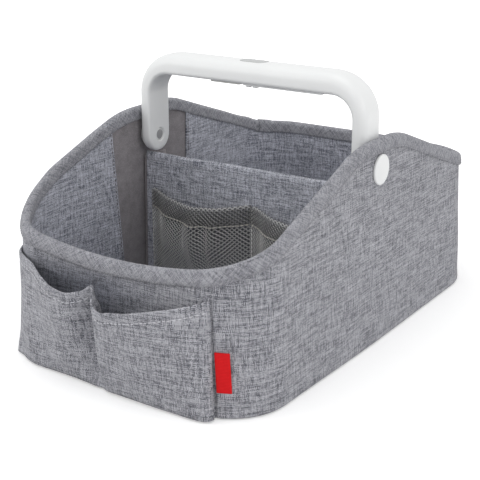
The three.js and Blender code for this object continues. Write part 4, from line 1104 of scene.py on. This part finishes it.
# Pivots: on each side a domed cap whose post goes through the wall, a spacer bush and a screw from inside.
# Cap and bush are moulded, the screw is plated steel; a grey push-in plug with a white rim hides its head.
# Caps and plugs are turned shapes with soft rims; bushes and screws stay as the solids are.
cap_radius, cap_seat, cap_rim, cap_dome, post_radius = 10.8 * mm, 103.23 * mm, 0.9 * mm, 1.5 * mm, 3.6 * mm
cap_flat = cap_radius * 0.86
cap_edge, cap_top, post_end = cap_seat + cap_rim, cap_seat + cap_rim + cap_dome, bore_end + 0.3 * mm
cap_profile = [(cap_flat * i / 8, cap_top - 0.7 * mm * (i / 8) ** 2) for i in range(9)]
for angle in (math.pi / 14 * i for i in range(1, 8)):
    rounding = cap_radius * 0.14 * math.sin(angle), 0.8 * mm * math.cos(angle)
    cap_profile.append((cap_flat + rounding[0], cap_edge + rounding[1]))
cap_profile += [(cap_radius, cap_seat), (post_radius, cap_seat), (post_radius, post_end), (0, post_end)]
# Millimetres: radius, and depth below the leg's inner face.
plug_shape = ((0, 0.5), (2, 0.52), (3.6, 0.6), (4.3, 0.8), (4.6, 1.15), (4.65, 2.4), (0, 2.4))
plug_profile = [(radius * mm, leg_inner + sunk * mm) for radius, sunk in plug_shape]
plug_plastic = plastic_finish("plug_plastic", plug_grey, rough=0.5)
tree, shader, middle_grey = painted(plug_plastic)
pivot = (0, pivot_y, pivot_z)
off_axis = add_node(tree, "VectorMath", {0: object_place(tree), 1: pivot}, operation="SUBTRACT")
around = add_node(tree, "VectorMath", {0: off_axis, 1: (0, 1, 1)}, operation="MULTIPLY")
from_axis = add_node(tree, "VectorMath", {0: around}, operation="LENGTH").outputs["Value"]
colour_by(shader, ramp(tree, from_axis, 3.65 * mm, 3.85 * mm), middle_grey, handle_white)
for side, sign in (("right", 1), ("left", -1)):
    cap = add_piece(side + "_cap", turned(cap_profile, sign, segments=64), white_plastic)
    smooth_faces(cap)
    fit(cap, "bin", "white_plastic", side + "_pivot_cap")
    plug = add_piece(side + "_plug", turned(plug_profile, sign), plug_plastic)
    smooth_faces(plug)
    fit(plug, "handle", "grey_plastic", side + "_screw_plug")
finish_nodes(grey_plastic, "right_pivot_bush", "left_pivot_bush")
steel, tree, shader = start_finish("plated_steel", Metallic=1.0)
drawn = add_node(tree, "VectorMath", {0: object_place(tree), 1: (1, 12, 12)}, operation="MULTIPLY")
lines = noise_on(tree, drawn, scale=300.0, detail=3.0)
colour_by(shader, lines, (0.42, 0.43, 0.45, 1), (0.62, 0.63, 0.65, 1))
gloss_by(shader, lines, low=0.22, high=0.45)
finish_nodes(steel, "right_pivot_screw", "left_pivot_screw")
finish_nodes(steel, "front_contact_leaf", "rear_contact_leaf", "contact_bridge")

# Push button on top of the grip, the lamp's switch.
# Light grey moulding with a crowned top, guided in the handle's hole and pressing a small switch below.
button_half, button_wide, button_low, button_top = 5.5 * mm, 10.5 * mm, 188.5 * mm, handle_top + 0.2 * mm
button_corner, button_edge, crown_step = 4.6 * mm, 0.5 * mm, 1.1 * mm
button_grey = plastic_finish("button_plastic", (0.50, 0.51, 0.51, 1), rough=0.42)
bm = bay(-button_wide, button_wide, button_half, button_low, button_top, button_corner, button_edge)
for step in range(-4, 5):
    whole = bm.verts[:] + bm.edges[:] + bm.faces[:]
    middle = (0, pivot_y + step * crown_step, 0)
    bmesh.ops.bisect_plane(bm, geom=whole, plane_co=middle, plane_no=(0, 1, 0))
for vert in bm.verts:
    if vert.co.z > bay_high:
        vert.co.z -= edge_drop(grip_edges[0], abs(vert.co.y - pivot_y))
button = add_piece("lamp_button", bm, button_grey)
smooth_faces(button)
fit(button, "button", "grey_plastic", "push_button")

# Lens and battery door under the grip.
# The lens is frosted plastic; the door is white, swings down at its right end and snaps in by a small catch.
# The solids are right; their edges are welded and eased.
frosted, tree, shader = start_finish("frosted_lens", Roughness=0.45, Transmission_Weight=0.35, IOR=1.46)
haze = noise_on(tree, object_place(tree), scale=900.0, detail=3.0)
colour_by(shader, haze, (0.80, 0.80, 0.76, 1), (0.90, 0.90, 0.87, 1))
roughen(shader, haze, strength=0.15, distance=0.1 * mm)
finish_nodes(frosted, "light_lens")
finish_nodes(white_plastic, "battery_door")
for name in ("light_lens", "battery_door"):
    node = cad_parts[name]
    node.modifiers.new("weld", "WELD").merge_threshold = nearly
    ease = node.modifiers.new("ease", "BEVEL")
    ease.width, ease.segments, ease.angle_limit = 0.25 * mm, 2, math.radians(40)

# Lamp and power inside the grip: a small circuit board with two light sources and a switch, two cells.
# Green solder mask on the board, pale ceramic packages, black switch, grey wrapped cells.
mask_green, mask_light, trace_green = (0.018, 0.11, 0.05, 1), (0.022, 0.13, 0.06, 1), (0.05, 0.22, 0.10, 1)
circuit, tree, shader = start_finish("circuit_board", Roughness=0.45)
traces = add_node(tree, "TexBrick", {
    "Vector": object_place(tree), "Scale": 260.0, "Mortar Size": 0.03,
    "Color1": mask_green, "Color2": mask_light, "Mortar": trace_green,
})
tree.links.new(traces.outputs["Color"], shader.inputs["Base Color"])
finish_nodes(circuit, "lamp_board")
finish_nodes(plastic_finish("led_package", (0.86, 0.83, 0.62, 1), rough=0.3), "left_led", "right_led")
finish_nodes(plastic_finish("switch_body", (0.03, 0.03, 0.032, 1), rough=0.45), "tact_switch")
wrap, tree, shader = start_finish("cell_wrap", Roughness=0.32, Coat_Weight=0.2)
where = object_place(tree)
bare_end = ramp(tree, axes_of(tree, where)["X"], 47 * mm, 47.4 * mm)
scuffs = noise_on(tree, where, scale=500.0, detail=3.0)
grey_wrap = blend_colours(tree, scuffs, (0.055, 0.06, 0.068, 1), (0.085, 0.09, 0.10, 1))
colour_by(shader, bare_end, grey_wrap, (0.42, 0.43, 0.44, 1))
finish_nodes(wrap, "front_cell", "rear_cell")

# Studio: a plain white floor under soft light, and the photograph's camera.
# The floor keeps the bin's shadow; what the camera sees of it, straight or mirrored, is lifted to white.
white, floor_shade = (1, 1, 1, 1), (0.86, 0.86, 0.86, 1)
floor_half, floor_drop = 6, -0.3 * mm
sky_light = 0.745


def backdrop_rays(tree):
    """1 for rays that show the backdrop: straight from the camera, mirrored or through the lens."""
    ray = add_node(tree, "LightPath").outputs
    bent = reckon(tree, "MAXIMUM", ray["Is Glossy Ray"], ray["Is Transmission Ray"])
    return reckon(tree, "MAXIMUM", ray["Is Camera Ray"], bent)


bm = bmesh.new()
bmesh.ops.create_grid(bm, x_segments=4, y_segments=4, size=floor_half)
bmesh.ops.translate(bm, verts=bm.verts[:], vec=(0, 0, floor_drop))
floor_white, tree, shader = start_finish(
    "floor_white", Roughness=0.9, Specular_IOR_Level=0.1, Base_Color=floor_shade, Emission_Color=white,
)
away = add_node(tree, "VectorMath", {0: object_place(tree)}, operation="LENGTH").outputs["Value"]
lifted = ramp(tree, away, 0.25, 0.9)
lifted.inputs["To Min"].default_value, lifted.inputs["To Max"].default_value = 0.34, 0.8
seen = reckon(tree, "MULTIPLY", backdrop_rays(tree), lifted)
tree.links.new(seen.outputs[0], shader.inputs["Emission Strength"])
add_piece("floor", bm, floor_white)

scene = bpy.context.scene
scene.world = bpy.data.worlds.new("studio")
scene.world.use_nodes = True
tree = scene.world.node_tree
sky = tree.nodes["Background"].inputs
sky["Color"].default_value = white
level = reckon(tree, "MULTIPLY_ADD", backdrop_rays(tree), 1 - sky_light, sky_light)
tree.links.new(level.outputs[0], sky["Strength"])


def add_lamp(name, place, target, size, power):
    light = bpy.data.lights.new(name, "AREA")
    light.size, light.energy = size, power
    lamp = bpy.data.objects.new(name, light)
    lamp.location = place
    lamp.rotation_euler = (Vector(target) - Vector(place)).to_track_quat("-Z", "Y").to_euler()
    scene.collection.objects.link(lamp)


add_lamp("left_softbox", (-1.5, -1.5, 0.9), target=(0, -0.1, 0.08), size=0.9, power=7.5)
add_lamp("right_softbox", (2.0, -0.3, 0.9), target=(0, 0, 0.08), size=0.9, power=6.5)
add_lamp("top_softbox", (-0.1, -0.3, 1.9), target=(0, 0, 0.08), size=1.2, power=7.2)

lens = bpy.data.cameras.new("camera")
lens.lens, lens.sensor_width = 84.35, 36
camera = bpy.data.objects.new("camera", lens)
turn, tilt = math.radians(33.40), math.radians(18.80)
look = Vector((-math.sin(turn) * math.cos(tilt), math.cos(turn) * math.cos(tilt), -math.sin(tilt)))
camera.location = (0.43327, -0.67963, 0.32971)
camera.rotation_euler = look.to_track_quat("-Z", "Y").to_euler()
scene.collection.objects.link(camera)
scene.camera = camera
scene.view_settings.view_transform = "Standard"
